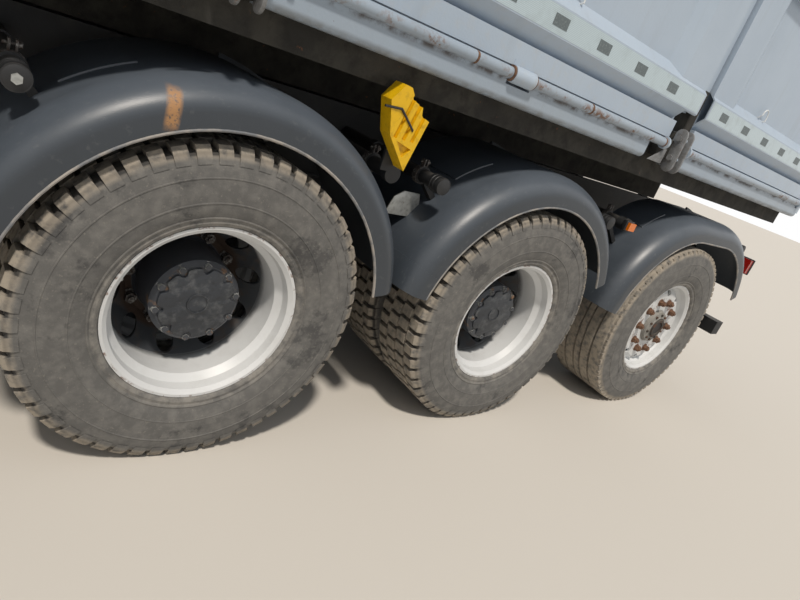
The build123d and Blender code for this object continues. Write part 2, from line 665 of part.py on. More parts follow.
def coupling():
    """Jaw coupling for a trailer's drawbar eye. Its pin drops clear in front of the underrun bar."""
    low, high = COUPLING_Z - COUPLING_H / 2, COUPLING_Z + COUPLING_H / 2
    jaw = box(COUPLING_X, COUPLING_SEAT_X - GAP, -COUPLING_Y, COUPLING_Y, low, high)
    mouth = box(COUPLING_X - 10, COUPLING_SEAT_X - COUPLING_BACK, -COUPLING_Y - 5, COUPLING_Y + 5,
                COUPLING_Z - COUPLING_MOUTH, COUPLING_Z + COUPLING_MOUTH)
    bore = rod_z(COUPLING_PIN_X, 0, low - 10, high + 10, COUPLING_PIN_R)
    put("tow_coupling", jaw - mouth - bore)


# Front end

HEADLAMP_Y = (880.0, 1160.0)
HEADLAMP_Z = (640.0, 800.0)
HEADLAMP_T = 36.0
HEADLAMP_BACK = 4.0            # lens, behind the bumper's face
INTAKE_Y = 520.0
INTAKE_Z = (560.0, 700.0)
BUMPER_CHAMFER = 40.0
CHEEK_X = 4040.0
CHEEK_T = 40.0
BUMPER_STAY_Z = (720.0, 960.0)
MARKER_W = 56.0
MARKER_H = 40.0
MARKER_T = 22.0


def bumper_and_lamps():
    """Bumper with its cheeks and stays, headlamps in their pockets, side markers and tail lamps."""
    x0 = FRONT_END - BUMPER_T
    face = box(x0, FRONT_END, -BUMPER_Y, BUMPER_Y, BUMPER_BOTTOM, BUMPER_TOP)
    face = chamfer(face.edges().filter_by(Axis.Z).group_by(Axis.X)[-1], BUMPER_CHAMFER)
    cheek = box(CHEEK_X, x0, BUMPER_Y - CHEEK_T, BUMPER_Y, BUMPER_BOTTOM, BUMPER_TOP)
    stay = box(TILT_X + TILT_PIN_R + 2, x0, RAIL_Y - 30, RAIL_Y, *BUMPER_STAY_Z)
    lens = FRONT_END - HEADLAMP_BACK
    lamp = box(lens - HEADLAMP_T, lens, *HEADLAMP_Y, *HEADLAMP_Z)
    pocket = box(lens - HEADLAMP_T - GAP, FRONT_END + 5, HEADLAMP_Y[0] - GAP, HEADLAMP_Y[1] + GAP,
                 HEADLAMP_Z[0] - GAP, HEADLAMP_Z[1] + GAP)
    intake = box(x0 - 5, FRONT_END + 5, -INTAKE_Y, INTAKE_Y, *INTAKE_Z)
    plate = joined([face] + both(cheek) + both(stay)) - intake
    for hole in both(pocket):
        plate = plate - hole
    put("front_bumper", plate)
    arm = ARMS[LAMP_ARM]
    marker = box(arm["x"] - MARKER_W / 2, arm["x"] + MARKER_W / 2, CAP_END + GAP, CAP_END + MARKER_T,
                 arm["z"] - MARKER_H / 2, arm["z"] + MARKER_H / 2)
    tail = box(TAIL_LAMP_X[0], TAIL_LAMP_X[1] - GAP, *TAIL_LAMP_Y, *TAIL_LAMP_Z)
    put("lamps", *[half for part in (lamp, marker, tail) for half in both(part)])


FENDER_R = 650.0
FENDER_T = 12.0
FENDER_Y = (850.0, 1235.0)
FENDER_LIP = 20.0
FENDER_LIP_T = 10.0
FENDER_SWEEP = 150.0           # degrees
STEPS_X = (3520.0, 4000.0)
STEPS_Z = (400.0, 985.0)
TREADS_X = (3560.0, 3960.0)
TREAD_Y = 1040.0
TREADS_Z = (480.0, 740.0)
TREAD_H = 170.0
STEP_STAY_X = (3600.0, 3680.0)
STEP_STAY_Z = (880.0, 960.0)
FENDER_LINK_X = (3484.0, 3522.0)
FENDER_LINK_Z = (692.0, 712.0)
FENDER_STAY_X = 2222.0
FENDER_STAY_Z = 760.0
FENDER_STAY_R = 22.0
STAY_FOOT_W = 64.0
STAY_FOOT_T = 14.0
STAY_FOOT_Z = (745.0, 840.0)


def front_mudguards():
    """Arch over each front wheel with the cab's steps in front of it."""
    inner, outer = FENDER_Y
    face = outer - FENDER_LIP_T
    arch = spin_y([(FENDER_R, inner), (FENDER_R + FENDER_T, inner), (FENDER_R + FENDER_T, outer),
                   (FENDER_R - FENDER_LIP, outer), (FENDER_R - FENDER_LIP, face), (FENDER_R, face)],
                  FRONT_AXLE_X, AXLE_Z, -FENDER_SWEEP / 2, FENDER_SWEEP)
    steps = box(*STEPS_X, inner, face, *STEPS_Z)
    for z in TREADS_Z:
        steps = steps - box(*TREADS_X, TREAD_Y, outer, z, z + TREAD_H)
    bracket = box(*STEP_STAY_X, RAIL_Y, inner + 2, *STEP_STAY_Z)
    link = box(*FENDER_LINK_X, inner + 20, face, *FENDER_LINK_Z)
    stay = rod_y(FENDER_STAY_X, RAIL_Y, outer - 135, FENDER_STAY_Z, FENDER_STAY_R)
    foot = box(FENDER_STAY_X - STAY_FOOT_W / 2, FENDER_STAY_X + STAY_FOOT_W / 2, RAIL_Y,
               RAIL_Y + STAY_FOOT_T, *STAY_FOOT_Z)
    put("front_mudguards", *both(joined([steps, bracket, link, arch, stay, foot])))


# Cab

def cab_outline(inset):
    """(x, z) outline of the cab, moved inwards by the wall."""
    low = CAB_LOW + inset
    high = CAB_HIGH + inset
    front = CAB_FRONT - inset
    return [(CAB_REAR + inset, high), (CAB_STEP_X + inset, high), (CAB_STEP_X + inset, low),
            (front, low), (front, CAB_BELT), (CAB_BROW_X - inset, CAB_BROW_Z),
            (CAB_ROOF_X - inset / 2, CAB_TOP - inset), (CAB_REAR + inset, CAB_TOP - inset)]


def cab_plan(inset, corner):
    """Upright prism whose plan has rounded front corners."""
    y = CAB_Y - inset
    plan = box(CAB_REAR + inset, CAB_FRONT - inset, -y, y, 900, 3000)
    return fillet(plan.edges().filter_by(Axis.Z).group_by(Axis.X)[-1], corner)


def door_outline(grow):
    """(x, z) outline of a door leaf, grown for its opening."""
    step = CAB_STEP_X + 60
    return [(DOOR_REAR - grow, 1290 - grow), (step - grow, 1290 - grow), (step - grow, 1070 - grow),
            (DOOR_FRONT + grow, 1070 - grow), (DOOR_FRONT + grow, 1720),
            (DOOR_FRONT - 120 + grow, 2560 + grow), (DOOR_REAR - grow, 2640 + grow)]


HINGE_X = DOOR_FRONT + 3
HINGE_Y = CAB_Y + 16
HINGE_PIN_R = 7.0
HINGE_SLEEVE_R = 13.0
HINGE_ZS = (1220.0, 1600.0)    # middles of a door's two hinges
HINGE_H = 70.0
HINGE_LUG_H = 24.0

WINDOW = ((3080, 1790), (3960, 1790), (3870, 2470), (3080, 2540))
WINDSCREEN_Y = 1000.0
GLASS_T = 8.0


def glass_slab(back, thick, y, z0, z1):
    """Slab that follows the windscreen's slope, set back from the cab's front."""
    slope = (CAB_FRONT - CAB_BROW_X) / (CAB_BROW_Z - CAB_BELT)

    def front(z):
        return CAB_FRONT - (z - CAB_BELT) * slope - back

    return prism_y([(front(z0), z0), (front(z1), z1), (front(z1) - thick, z1),
                    (front(z0) - thick, z0)], -y, y)


def cab():
    shell = prism_y(cab_outline(0), -CAB_Y, CAB_Y) & cab_plan(0, 160)
    inside = prism_y(cab_outline(CAB_WALL), -CAB_Y, CAB_Y) & cab_plan(CAB_WALL, 120)
    shell = shell - inside
    tunnel = box(CAB_REAR - 5, 4040, -TUNNEL_Y - 20, TUNNEL_Y + 20, CAB_LOW - 5, TUNNEL_TOP + 20)
    tunnel = tunnel & prism_y(cab_outline(0), -CAB_Y, CAB_Y)
    shell = joined([shell, tunnel])
    shell = shell - box(CAB_REAR - 5, 4020, -TUNNEL_Y, TUNNEL_Y, CAB_LOW - 5, TUNNEL_TOP)
    for opening in both(prism_y(door_outline(SHUT), CAB_Y - DOOR_T - 20, CAB_Y + 10)):
        shell = shell - opening
    shell = shell - glass_slab(-40, 160, WINDSCREEN_Y, 1770, 2600)
    shell = shell - box(CAB_REAR - 5, CAB_REAR + CAB_WALL + 5, -420, 420, 1880, 2420)
    arm = prism_y([(TILT_X, TILT_Z - 44), (TILT_X, TILT_Z + 44), (TILT_X - 215, 850),
                   (TILT_X - 235, CAB_LOW + 2), (TILT_X - 300, CAB_LOW + 2), (TILT_X - 300, 800)],
                  572, 602)
    arm = arm + rod_y(TILT_X, 572, 602, TILT_Z, 44)
    arm = arm - rod_y(TILT_X, 500, 700, TILT_Z, TILT_PIN_R + BORE_FIT)
    half = HINGE_H / 2
    hinges = []
    for z in HINGE_ZS:
        hinges.append(rod_z(HINGE_X, HINGE_Y, z - half - HINGE_LUG_H, z + half + HINGE_LUG_H,
                            HINGE_PIN_R))
        for low in (z - half - HINGE_LUG_H, z + half + 2):
            hinges.append(box(HINGE_X - 10, HINGE_X + 18, CAB_Y - 1, HINGE_Y + 10, low,
                              low + HINGE_LUG_H - 2))
            hinges[-1] = hinges[-1] - box(HINGE_X - 20, HINGE_X + 3.5, 0, CAB_Y + 3, low - 5,
                                          low + HINGE_LUG_H)
    put("cab_shell", joined([shell] + both(arm) + both(joined(hinges[:3])) + both(joined(hinges[3:]))))
    screen = glass_slab(18, GLASS_T, WINDSCREEN_Y - GAP, 1770 + GAP, 2600 - GAP)
    rear = box(CAB_REAR + 20, CAB_REAR + 20 + GLASS_T, -420 + GAP, 420 - GAP, 1880 + GAP,
               2420 - GAP)
    put("cab_glass", screen, rear)


GRILLE_Y = 760.0
GRILLE_Z = (1060.0, 1620.0)
GRILLE_T = 12.0
GRILLE_FRAME_W = 40.0
SLAT_H = 44.0
SLAT_T = 20.0
SLAT_PITCH = 80.0
SLATS = 6
SLAT_LOW = 1140.0
TIE_W = 24.0
TIE_T = 10.0
TIES_Y = (-360.0, 0.0, 360.0)


def grille():
    """Frame with six slats and three upright ties behind them."""
    back = CAB_FRONT + GAP
    y, (low, high), w = GRILLE_Y, GRILLE_Z, GRILLE_FRAME_W
    frame = box(back, CAB_FRONT + GRILLE_T, -y, y, low, high)
    frame = frame - box(CAB_FRONT - 5, CAB_FRONT + 20, w - y, y - w, low + w, high - w)
    bars = [box(back, CAB_FRONT + SLAT_T, w - y - 5, y - w + 5, z, z + SLAT_H)
            for z in (SLAT_LOW + SLAT_PITCH * i for i in range(SLATS))]
    ties = [box(back, CAB_FRONT + TIE_T, t - TIE_W / 2, t + TIE_W / 2, low + w - 10, high - w + 10)
            for t in TIES_Y]
    put("grille", joined([frame] + bars + ties))


SEAT_Y = 800.0
SEAT_BASE_X = (2800.0, 3180.0)
SEAT_BASE_W = 360.0
SEAT_BASE_H = 200.0
CUSHION_X = (2760.0, 3260.0)
CUSHION_W = 500.0
CUSHION_TOP = 330.0            # above the cab's floor
BACKREST_W = 480.0
BACKREST_TOP = 980.0
DASH_Y = 960.0
DASH_Z = (1540.0, 1690.0)
COLUMN_MIDDLE = (3720.0, 1560.0)
COLUMN_R = 30.0
COLUMN_LENGTH = 480.0
STEERING_MIDDLE = (3560.0, 1672.0)
STEERING_LEAN = 55.0           # degrees from upright
STEERING_R = 215.0
STEERING_RIM_R = 17.0
SPOKE_W = 40.0
SPOKE_T = 16.0


def interior():
    """Seats on their bases, dashboard, and the steering wheel on its column."""
    floor = CAB_HIGH + CAB_WALL
    seats = []
    for _, s in SIDES:
        y, rear = s * SEAT_Y, CUSHION_X[0]
        base = box(*SEAT_BASE_X, y - SEAT_BASE_W / 2, y + SEAT_BASE_W / 2, floor + GAP,
                   floor + SEAT_BASE_H)
        cushion = box(*CUSHION_X, y - CUSHION_W / 2, y + CUSHION_W / 2, floor + SEAT_BASE_H,
                      floor + CUSHION_TOP)
        back = prism_y([(rear, floor + CUSHION_TOP - 10), (rear + 120, floor + CUSHION_TOP - 10),
                        (rear - 40, floor + BACKREST_TOP), (rear - 140, floor + BACKREST_TOP)],
                       y - BACKREST_W / 2, y + BACKREST_W / 2)
        seats.append(joined([base, cushion, back]))
    back = CAB_FRONT - CAB_WALL - GAP
    low, high = DASH_Z
    dash = prism_y([(3900, low), (back, low), (back, high), (4120, high + 70), (3860, high + 10)],
                   -DASH_Y, DASH_Y)
    lean = Rot(0, STEERING_LEAN, 0)
    middle = Pos(STEERING_MIDDLE[0], SEAT_Y, STEERING_MIDDLE[1])
    column = Pos(COLUMN_MIDDLE[0], SEAT_Y, COLUMN_MIDDLE[1]) * lean * Cylinder(COLUMN_R, COLUMN_LENGTH)
    wheel = middle * lean * Torus(STEERING_R, STEERING_RIM_R)
    spokes = middle * lean * Box(SPOKE_W, 2 * STEERING_R, SPOKE_T)
    put("cab_interior", *seats, joined([dash, column, spokes, wheel]))


MIRROR_X = (4060.0, 4130.0)
MIRROR_OUT = 150.0             # from the cab's side to the mirror's post
MIRROR_W = (30.0, 190.0)       # head, inwards and outwards of its post
MIRROR_Z = (1930.0, 2360.0)
MIRROR_CORNER = 35.0
MIRROR_ARMS_Z = (1850.0, 2450.0)
MIRROR_ARM_X = (4075.0, 4110.0)
MIRROR_ARM_H = 30.0
MIRROR_POST_R = 15.0
MIRROR_ROOT_T = 30.0


def mirrors():
    """Mirror heads on upright posts, each held by two arms on a root plate."""
    arm_y = CAB_Y + MIRROR_OUT
    parts = [box(*MIRROR_ARM_X, CAB_Y + GAP, arm_y, z, z + MIRROR_ARM_H) for z in MIRROR_ARMS_Z]
    post = rod_z(sum(MIRROR_ARM_X) / 2, arm_y, MIRROR_ARMS_Z[0] - 20, MIRROR_ARMS_Z[1] + 50,
                 MIRROR_POST_R)
    head = box(*MIRROR_X, arm_y - MIRROR_W[0], arm_y + MIRROR_W[1], *MIRROR_Z)
    head = fillet(head.edges().filter_by(Axis.X), MIRROR_CORNER)
    root = box(*MIRROR_ARM_X, CAB_Y + GAP, CAB_Y + MIRROR_ROOT_T, MIRROR_ARMS_Z[0] - 10,
               MIRROR_ARMS_Z[1] + MIRROR_ARM_H + 10)
    put("mirrors", *both(joined(parts + [post, head, root])))


HANDLE_X = (3050.0, 3210.0)
HANDLE_Z = (1610.0, 1650.0)
HANDLE_T = 22.0
HINGE_LEAF_W = 70.0
HINGE_LEAF_T = 9.0


def doors():
    """Door leaves with their window openings, handles, hinges and panes."""
    for name, sign in SIDES:
        leaf = prism_y(door_outline(0), CAB_Y - DOOR_T, CAB_Y)
        leaf = leaf - prism_y(WINDOW, CAB_Y - DOOR_T - 5, CAB_Y + 5)
        handle = box(*HANDLE_X, CAB_Y, CAB_Y + HANDLE_T, *HANDLE_Z)
        hinges = []
        for z in HINGE_ZS:
            low, high = z - HINGE_H / 2, z + HINGE_H / 2
            hinges.append(box(DOOR_FRONT - HINGE_LEAF_W, HINGE_X - 6, CAB_Y - 1,
                              CAB_Y + HINGE_LEAF_T, low, high))
            hinges.append(rod_z(HINGE_X, HINGE_Y, low, high, HINGE_SLEEVE_R))
        leaf = joined([leaf, handle] + hinges)
        leaf = leaf - rod_z(HINGE_X, HINGE_Y, 1000, 2000, HINGE_PIN_R + BORE_FIT)
        put("door_" + name, side(leaf, sign))
        inset = [(x + dx * GAP, z + dz * GAP) for (x, z), (dx, dz)
                 in zip(WINDOW, ((1, 1), (-1, 1), (-1, -1), (1, -1)))]
        pane = prism_y(inset, CAB_Y - 26, CAB_Y - 26 + GLASS_T)
        put("door_glass_" + name, side(pane, sign))


# Tipping body

BEARERS = (-4190, -3850, -3500, -3100, -2700, -2300, -1900, -1580, -1160, -750, -350, 50, 450, 850,
           1250, 1600, 1900)


WEB_T = 14.0                   # apron behind each sill, over the bearers' ends
BEARER_W = 50.0
BEAM_W = 80.0
BEAM_BACK = 60.0               # long beams' rear end, ahead of the tipping axis
TIP_LUG_R = 42.0
TIP_LUG_Y = (215.0, 275.0)
TIP_SHAFT_END = 345.0
CYL_EAR_R = 45.0
CYL_EAR_Y = (32.0, 50.0)


def body_floor():
    """Floor plate on its bearers, long beams, outer webs, tipping lugs and the cylinder's ears."""
    edge = SILL_Y - SILL_W
    half = BEARER_W / 2
    plate = box(BODY_REAR, BODY_FRONT, -edge, edge, FLOOR_BOTTOM, FLOOR_TOP)
    bearers = [box(x - half, x + half, 1 - edge, edge - 1, BEARER_BOTTOM, FLOOR_BOTTOM)
               for x in BEARERS]
    beam = box(TIP_X + BEAM_BACK, BODY_FRONT, RAIL_Y - BEAM_W, RAIL_Y, BEAM_BOTTOM, FLOOR_BOTTOM)
    outer = box(BODY_REAR + 5, BODY_FRONT, edge - WEB_T, edge, BEARER_BOTTOM - 6, FLOOR_BOTTOM)
    lug = box(TIP_X - TIP_LUG_R, TIP_X + TIP_LUG_R, *TIP_LUG_Y, TIP_Z - TIP_LUG_R, FLOOR_BOTTOM)
    shaft = rod_y(TIP_X, TIP_LUG_Y[0], TIP_SHAFT_END, TIP_Z, TIP_PIN_R)
    ear = box(CYL_X - CYL_EAR_R, CYL_X + CYL_EAR_R, *CYL_EAR_Y, CYL_EYE_Z - 40, FLOOR_BOTTOM)
    put("body_floor", joined([plate] + bearers + both(beam) + both(outer) + both(lug) + both(shaft)
                             + both(ear)))


def runs():
    """Stretches of sill and rod between the latch zones."""
    marks = [BODY_REAR] + [x for zone in LATCH_ZONES for x in zone] + [BODY_FRONT]
    return list(zip(marks[0::2], marks[1::2]))


def panel_ends():
    """Ends of the rear, middle and front drop side."""
    gaps = [(zone[0] - PANEL_GAP_BACK, zone[0] - PANEL_GAP_BACK + PANEL_GAP_W) for zone in LATCH_ZONES]
    return (("rear", BODY_REAR + POST_W + 6, gaps[0][0]), ("middle", gaps[0][1], gaps[1][0]),
            ("front", gaps[1][1], BODY_FRONT - HEADBOARD_T / 2 - 4))


KNUCKLE_W = 110.0
KNUCKLE_FROM = 1900.0          # panels longer than this have a knuckle between their ends
KNUCKLE_OFF = 130.0            # and it sits this far ahead of the panel's middle
EAR_W = 14.0                   # flat hinge ear at each end of a panel
HINGE_CLEAR = 8.0              # round a knuckle or ear in the sill
SILL_BACK = 110.0              # sill's end, ahead of its latch zone's front edge
SILL_FILLET = 22.0
ROD_OUT = 15.0                 # how far rod and strip reach back into the latch zone
STRIP_OUT = 30.0
SADDLE_W = 160.0
SADDLE_T = 30.0
SADDLE_BACK = 300.0            # behind the panel's middle
WELD_T = 12.0                  # seat under the rod, flush with the sill's outside but for WELD_IN
WELD_IN = 2.0


def rods():
    """Ends of the three hinge rods of a side, rear to front."""
    return [(BODY_REAR + POST_W + GAP if i == 0 else x0 - ROD_OUT, x1)
            for i, (x0, x1) in enumerate(runs())]


def strip_start(panel):
    """Rear end of a panel's bottom strip, which stops short of the latch links."""
    x0 = panel_ends()[panel][1]
    return x0 + (LATCH_W + PANEL_GAP_BACK - PANEL_GAP_W - STRIP_OUT if panel else 0)


def hinge_places(panel):
    """(middle, width) of a panel's ears at the rod's ends and of its knuckle between them."""
    _, x0, x1 = panel_ends()[panel]
    rod0, rod1 = rods()[panel]
    places = [(max(rod0, strip_start(panel)) + EAR_W / 2, EAR_W), (min(rod1, x1) - EAR_W / 2, EAR_W)]
    if x1 - x0 > KNUCKLE_FROM:
        places.append(((x0 + x1) / 2 + KNUCKLE_OFF, KNUCKLE_W))
    return places


def sills():
    """Side sills, each with its round hinge rod on top and the rod's fixed saddle."""
    solids = []
    for panel, (x0, x1) in enumerate(runs()):
        rod0 = rods()[panel][0]
        x0 += SILL_BACK if panel else 0
        bar = box(x0, x1, SILL_Y - SILL_W, SILL_Y, SILL_BOTTOM, FLOOR_BOTTOM)
        low = bar.edges().filter_by(Axis.X).group_by(Axis.Z)[0].group_by(Axis.Y)[-1]
        bar = fillet(low, SILL_FILLET)
        rod = rod_x(rod0, x1, ROD_Y, ROD_Z, ROD_R)
        middle = sum(panel_ends()[panel][1:]) / 2 - SADDLE_BACK
        saddle = box(middle - SADDLE_W / 2, middle + SADDLE_W / 2, ROD_Y - SADDLE_T, ROD_Y,
                     FLOOR_BOTTOM, ROD_Z)
        seat = box(max(rod0, x0), x1, ROD_Y - WELD_IN - WELD_T, ROD_Y - WELD_IN, FLOOR_BOTTOM - 1,
                   ROD_Z)
        for x, width in hinge_places(panel):
            half = width / 2 + HINGE_CLEAR
            bar = bar - box(x - half, x + half, ROD_Y - KNUCKLE_R - 11, ROD_Y + 10,
                            ROD_Z - KNUCKLE_R - HINGE_CLEAR, FLOOR_BOTTOM + 1)
            seat = seat - box(x - half, x + half, ROD_Y - SADDLE_T, ROD_Y + SADDLE_T,
                              FLOOR_BOTTOM - SADDLE_T, ROD_Z + 1)
        solids += both(joined([bar, rod, saddle, seat]))
    put("body_sills", *solids)


# Latch of the drop sides: two upright plates with round ends, side by side, and two pins
LATCH_PLATES = (12.0, 74.0)    # rear faces, from the latch zone's rear edge
LATCH_T = 9.0
LATCH_Y = 1252.0
LATCH_R = 30.0
LATCH_Z = (1432.0, 1572.0)     # middles of the round ends
LATCH_BOLTS_Z = (1466.0, 1557.0)


LATCH_PIN_R = 9.0
LATCH_PIN_OUT = 5.0
LATCH_BLOCK = 120.0            # front face, from the latch zone's rear edge
WALL_Y = STRIP_Y               # outer faces of headboard and rear posts
POST_IN = SILL_Y - SILL_W      # inner faces of the posts
POST_CLEAR = 12.0              # between a middle post and the panels beside it
HEADBOARD_CAP_H = 90.0
HEADBOARD_RIB_T = 20.0
HEADBOARD_RIB_W = 60.0
HEADBOARD_RIBS_Y = (-1100.0, -370.0, 370.0, 1100.0)
GATE_ARM_Y = (1195.0, 1219.0)
GATE_ARM_H = 24.0
GATE_PIN_Y = (1160.0, 1200.0)


def body_walls():
    """Headboard, corner and intermediate posts, and the latch links below the posts."""
    rear, front = BODY_FRONT, BODY_FRONT + HEADBOARD_T
    board = box(rear, front, -WALL_Y, WALL_Y, SILL_BOTTOM, HEADBOARD_TOP)
    cap = box(rear - 5, front + HEADBOARD_RIB_T, -WALL_Y, WALL_Y, HEADBOARD_TOP - HEADBOARD_CAP_H,
              HEADBOARD_TOP)
    half = HEADBOARD_RIB_W / 2
    ribs = [box(front, front + HEADBOARD_RIB_T, y - half, y + half, FLOOR_BOTTOM,
                HEADBOARD_TOP - HEADBOARD_CAP_H + 10) for y in HEADBOARD_RIBS_Y]
    solids = [joined([board, cap] + ribs)]
    inside = BODY_REAR + POST_W
    rear_post = box(BODY_REAR, inside, POST_IN, WALL_Y, FLOOR_TOP, SIDE_TOP)
    pin_block = box(BODY_REAR + 6, inside, POST_IN, WALL_Y, SIDE_TOP - 30, GATE_PIN_Z + 30)
    arm = box(GATE_PIN_X - GATE_ARM_H, BODY_REAR + 10, *GATE_ARM_Y, GATE_PIN_Z - GATE_ARM_H,
              GATE_PIN_Z + GATE_ARM_H + 4)
    pin = rod_y(GATE_PIN_X, *GATE_PIN_Y, GATE_PIN_Z, GATE_PIN_R)
    solids += both(joined([rear_post, pin_block, arm, pin]))
    for zone in LATCH_ZONES:
        x0 = zone[0] - PANEL_GAP_BACK + POST_CLEAR
        x1 = x0 + PANEL_GAP_W - 2 * POST_CLEAR
        post = box(x0, x1, POST_IN, ROD_Y - ROD_R - 2, FLOOR_TOP, SIDE_TOP)
        block = box(zone[0] + 1, zone[0] + LATCH_BLOCK, POST_IN, LATCH_Y - LATCH_R + 8,
                    LATCH_Z[0] + 20, FLOOR_BOTTOM + 40)
        plates = []
        for x in LATCH_PLATES:
            low, high = zone[0] + x, zone[0] + x + LATCH_T
            plates.append(box(low, high, LATCH_Y - LATCH_R, LATCH_Y + LATCH_R, *LATCH_Z))
            plates += [rod_x(low, high, LATCH_Y, z, LATCH_R) for z in LATCH_Z]
        pins = [rod_x(zone[0] + LATCH_PLATES[0] - LATCH_PIN_OUT,
                      zone[0] + LATCH_PLATES[1] + LATCH_T + LATCH_PIN_OUT, LATCH_Y, z, LATCH_PIN_R)
                for z in LATCH_BOLTS_Z]
        solids += both(joined([post, block] + plates + pins))
    put("body_walls", *solids)


RAIL_GAP = 2.0                 # between the bottom strip and the box rail above it
RAIL_POCKET = 90.0             # how deep the box rail is open at its ends
RAIL_WALL = 6.0
TOP_CHAMFER = 14.0
PILLAR_W = 230.0
PILLAR_SLOPE = 90.0            # length of a pillar's slanted side
STRAP = (20.0, 4.0)            # hinge strap's faces, inwards from the rod's middle
ROD_FIT = 0.4                  # all round, of a hinge bore on its rod


def drop_side(panel):
    """One panel: skin, bottom strip, box rail open at its ends, pillars, top rail and hinges."""
    _, x0, x1 = panel_ends()[panel]
    skin = box(x0, x1, PANEL_IN, SKIN_Y, STRIP_BOTTOM, SIDE_TOP)
    strip0 = strip_start(panel)
    strip = box(strip0, x1, SKIN_Y - 1, STRIP_Y, STRIP_BOTTOM, STRIP_TOP)
    rail = prism_x([(SKIN_Y - 1, STRIP_TOP + RAIL_GAP), (TAPE_Y, TAPE_BOTTOM), (TAPE_Y, TAPE_TOP),
                    (SKIN_Y - 1, CHAMFER_TOP)], x0, x1)
    hollow = [(SKIN_Y, STRIP_TOP + RAIL_GAP + 2 * RAIL_WALL),
              (TAPE_Y - RAIL_WALL, TAPE_BOTTOM + RAIL_WALL / 2),
              (TAPE_Y - RAIL_WALL, TAPE_TOP - RAIL_WALL / 2), (SKIN_Y, CHAMFER_TOP - 2 * RAIL_WALL)]
    top = box(x0, x1, PANEL_IN, PILLAR_Y, TOP_RAIL, SIDE_TOP)
    top = chamfer(top.edges().filter_by(Axis.X).group_by(Axis.Y)[-1], TOP_CHAMFER)
    pillars = []
    for end, inward in ((x0, 1), (x1, -1)):
        plan = [(end, SKIN_Y - 1), (end, PILLAR_Y), (end + inward * PILLAR_W, PILLAR_Y),
                (end + inward * (PILLAR_W + PILLAR_SLOPE), SKIN_Y - 1)]
        face = make_face(Polyline(*[(x, y, 0) for x, y in plan], close=True))
        pillars.append(Pos(0, 0, TAPE_TOP) * extrude(face, amount=TOP_RAIL + 5 - TAPE_TOP,
                                                     dir=(0, 0, 1)))
    body = joined([skin, strip, rail, top] + pillars)
    body = body - prism_x(hollow, x0 - 1, x0 + RAIL_POCKET)
    body = body - prism_x(hollow, x1 - RAIL_POCKET, x1 + 1)
    if strip0 > x0:
        body = body - box(x0 - 1, strip0, PANEL_IN - 1, TAPE_Y + 1, STRIP_BOTTOM - 1, LATCH_CLEAR_Z)
    for x, width in hinge_places(panel):
        sleeve = rod_x(x - width / 2, x + width / 2, ROD_Y, ROD_Z, KNUCKLE_R)
        strap = box(x - width / 2, x + width / 2, ROD_Y - STRAP[0], ROD_Y - STRAP[1],
                    ROD_Z + ROD_R / 2, STRIP_BOTTOM + 20)
        body = joined([body, sleeve, strap])
        body = body - rod_x(x - width, x + width, ROD_Y, ROD_Z, ROD_R + ROD_FIT)
    return body


def drop_sides():
    for panel, (name, _, _) in enumerate(panel_ends()):
        leaf = drop_side(panel)
        for hand, sign in SIDES:
            put("drop_side_" + hand + "_" + name, side(leaf, sign))


GATE_Y = 1225.0
GATE_GAP = 5.0                 # between the gate and the body's rear edge
GATE_RIBS_Y = (-1150.0, -575.0, 0.0, 575.0, 1150.0)
GATE_RIB_W = 70.0
GATE_RAIL_H = 80.0
GATE_HOOK_Y = (1168.0, 1190.0)
GATE_HOOK_R = 26.0
GATE_HOOK_W = 40.0


def tailgate():
    """Ribbed gate that hangs from a hook at each upper corner."""
    x1 = BODY_REAR - GATE_GAP
    face = x1 - GATE_T + 1
    leaf = box(x1 - GATE_T, x1, -GATE_Y, GATE_Y, GATE_BOTTOM, GATE_TOP)
    half = GATE_RIB_W / 2
    ribs = [box(REAR_END, face, y - half, y + half, GATE_BOTTOM + 20, GATE_TOP - 20)
            for y in GATE_RIBS_Y]
    rails = [box(REAR_END, face, -GATE_Y, GATE_Y, z, z + GATE_RAIL_H)
             for z in (GATE_BOTTOM, GATE_TOP - GATE_RAIL_H)]
    hook = joined([box(GATE_PIN_X - GATE_HOOK_W / 2, GATE_PIN_X + GATE_HOOK_W / 2, *GATE_HOOK_Y,
                       GATE_TOP - 20, GATE_PIN_Z),
                   rod_y(GATE_PIN_X, *GATE_HOOK_Y, GATE_PIN_Z, GATE_HOOK_R)])
    hook = hook - rod_y(GATE_PIN_X, 1100, 1300, GATE_PIN_Z, GATE_PIN_R + BORE_FIT)
    put("tailgate", joined([leaf] + ribs + rails + both(hook)))


def cylinder():
    """Telescopic tipping cylinder, drawn in: outer tube on its trunnion and three stages."""
    tube = rod_z(CYL_X, 0, CYL_BOTTOM, CYL_TOP, CYL_R)
    tube = tube - rod_z(CYL_X, 0, CYL_BOTTOM + 8, CYL_TOP + 5, STAGE_R[0] + 1)
    ends = [rod_y(CYL_X, s * (CYL_R - 6), s * 230, CYL_PIN_Z, CYL_PIN_R) for _, s in SIDES]
    put("tip_cylinder_tube", joined([tube] + ends))
    for i, r in enumerate(STAGE_R):
        z0 = CYL_BOTTOM + STAGE_STEP * (i + 1)
        z1 = CYL_TOP + 4 * (i + 1)
        stage = rod_z(CYL_X, 0, z0, z1, r)
        if i + 1 < len(STAGE_R):
            stage = stage - rod_z(CYL_X, 0, z0 + 8, z1 + 5, STAGE_R[i + 1] + 1)
        else:
            neck = rod_z(CYL_X, 0, z1 - 1, CYL_EYE_Z, 22)
            eye = rod_y(CYL_X, -27, 27, CYL_EYE_Z, 34)
            stage = joined([stage, neck, eye])
        put("tip_cylinder_stage_%d" % (i + 1), stage)


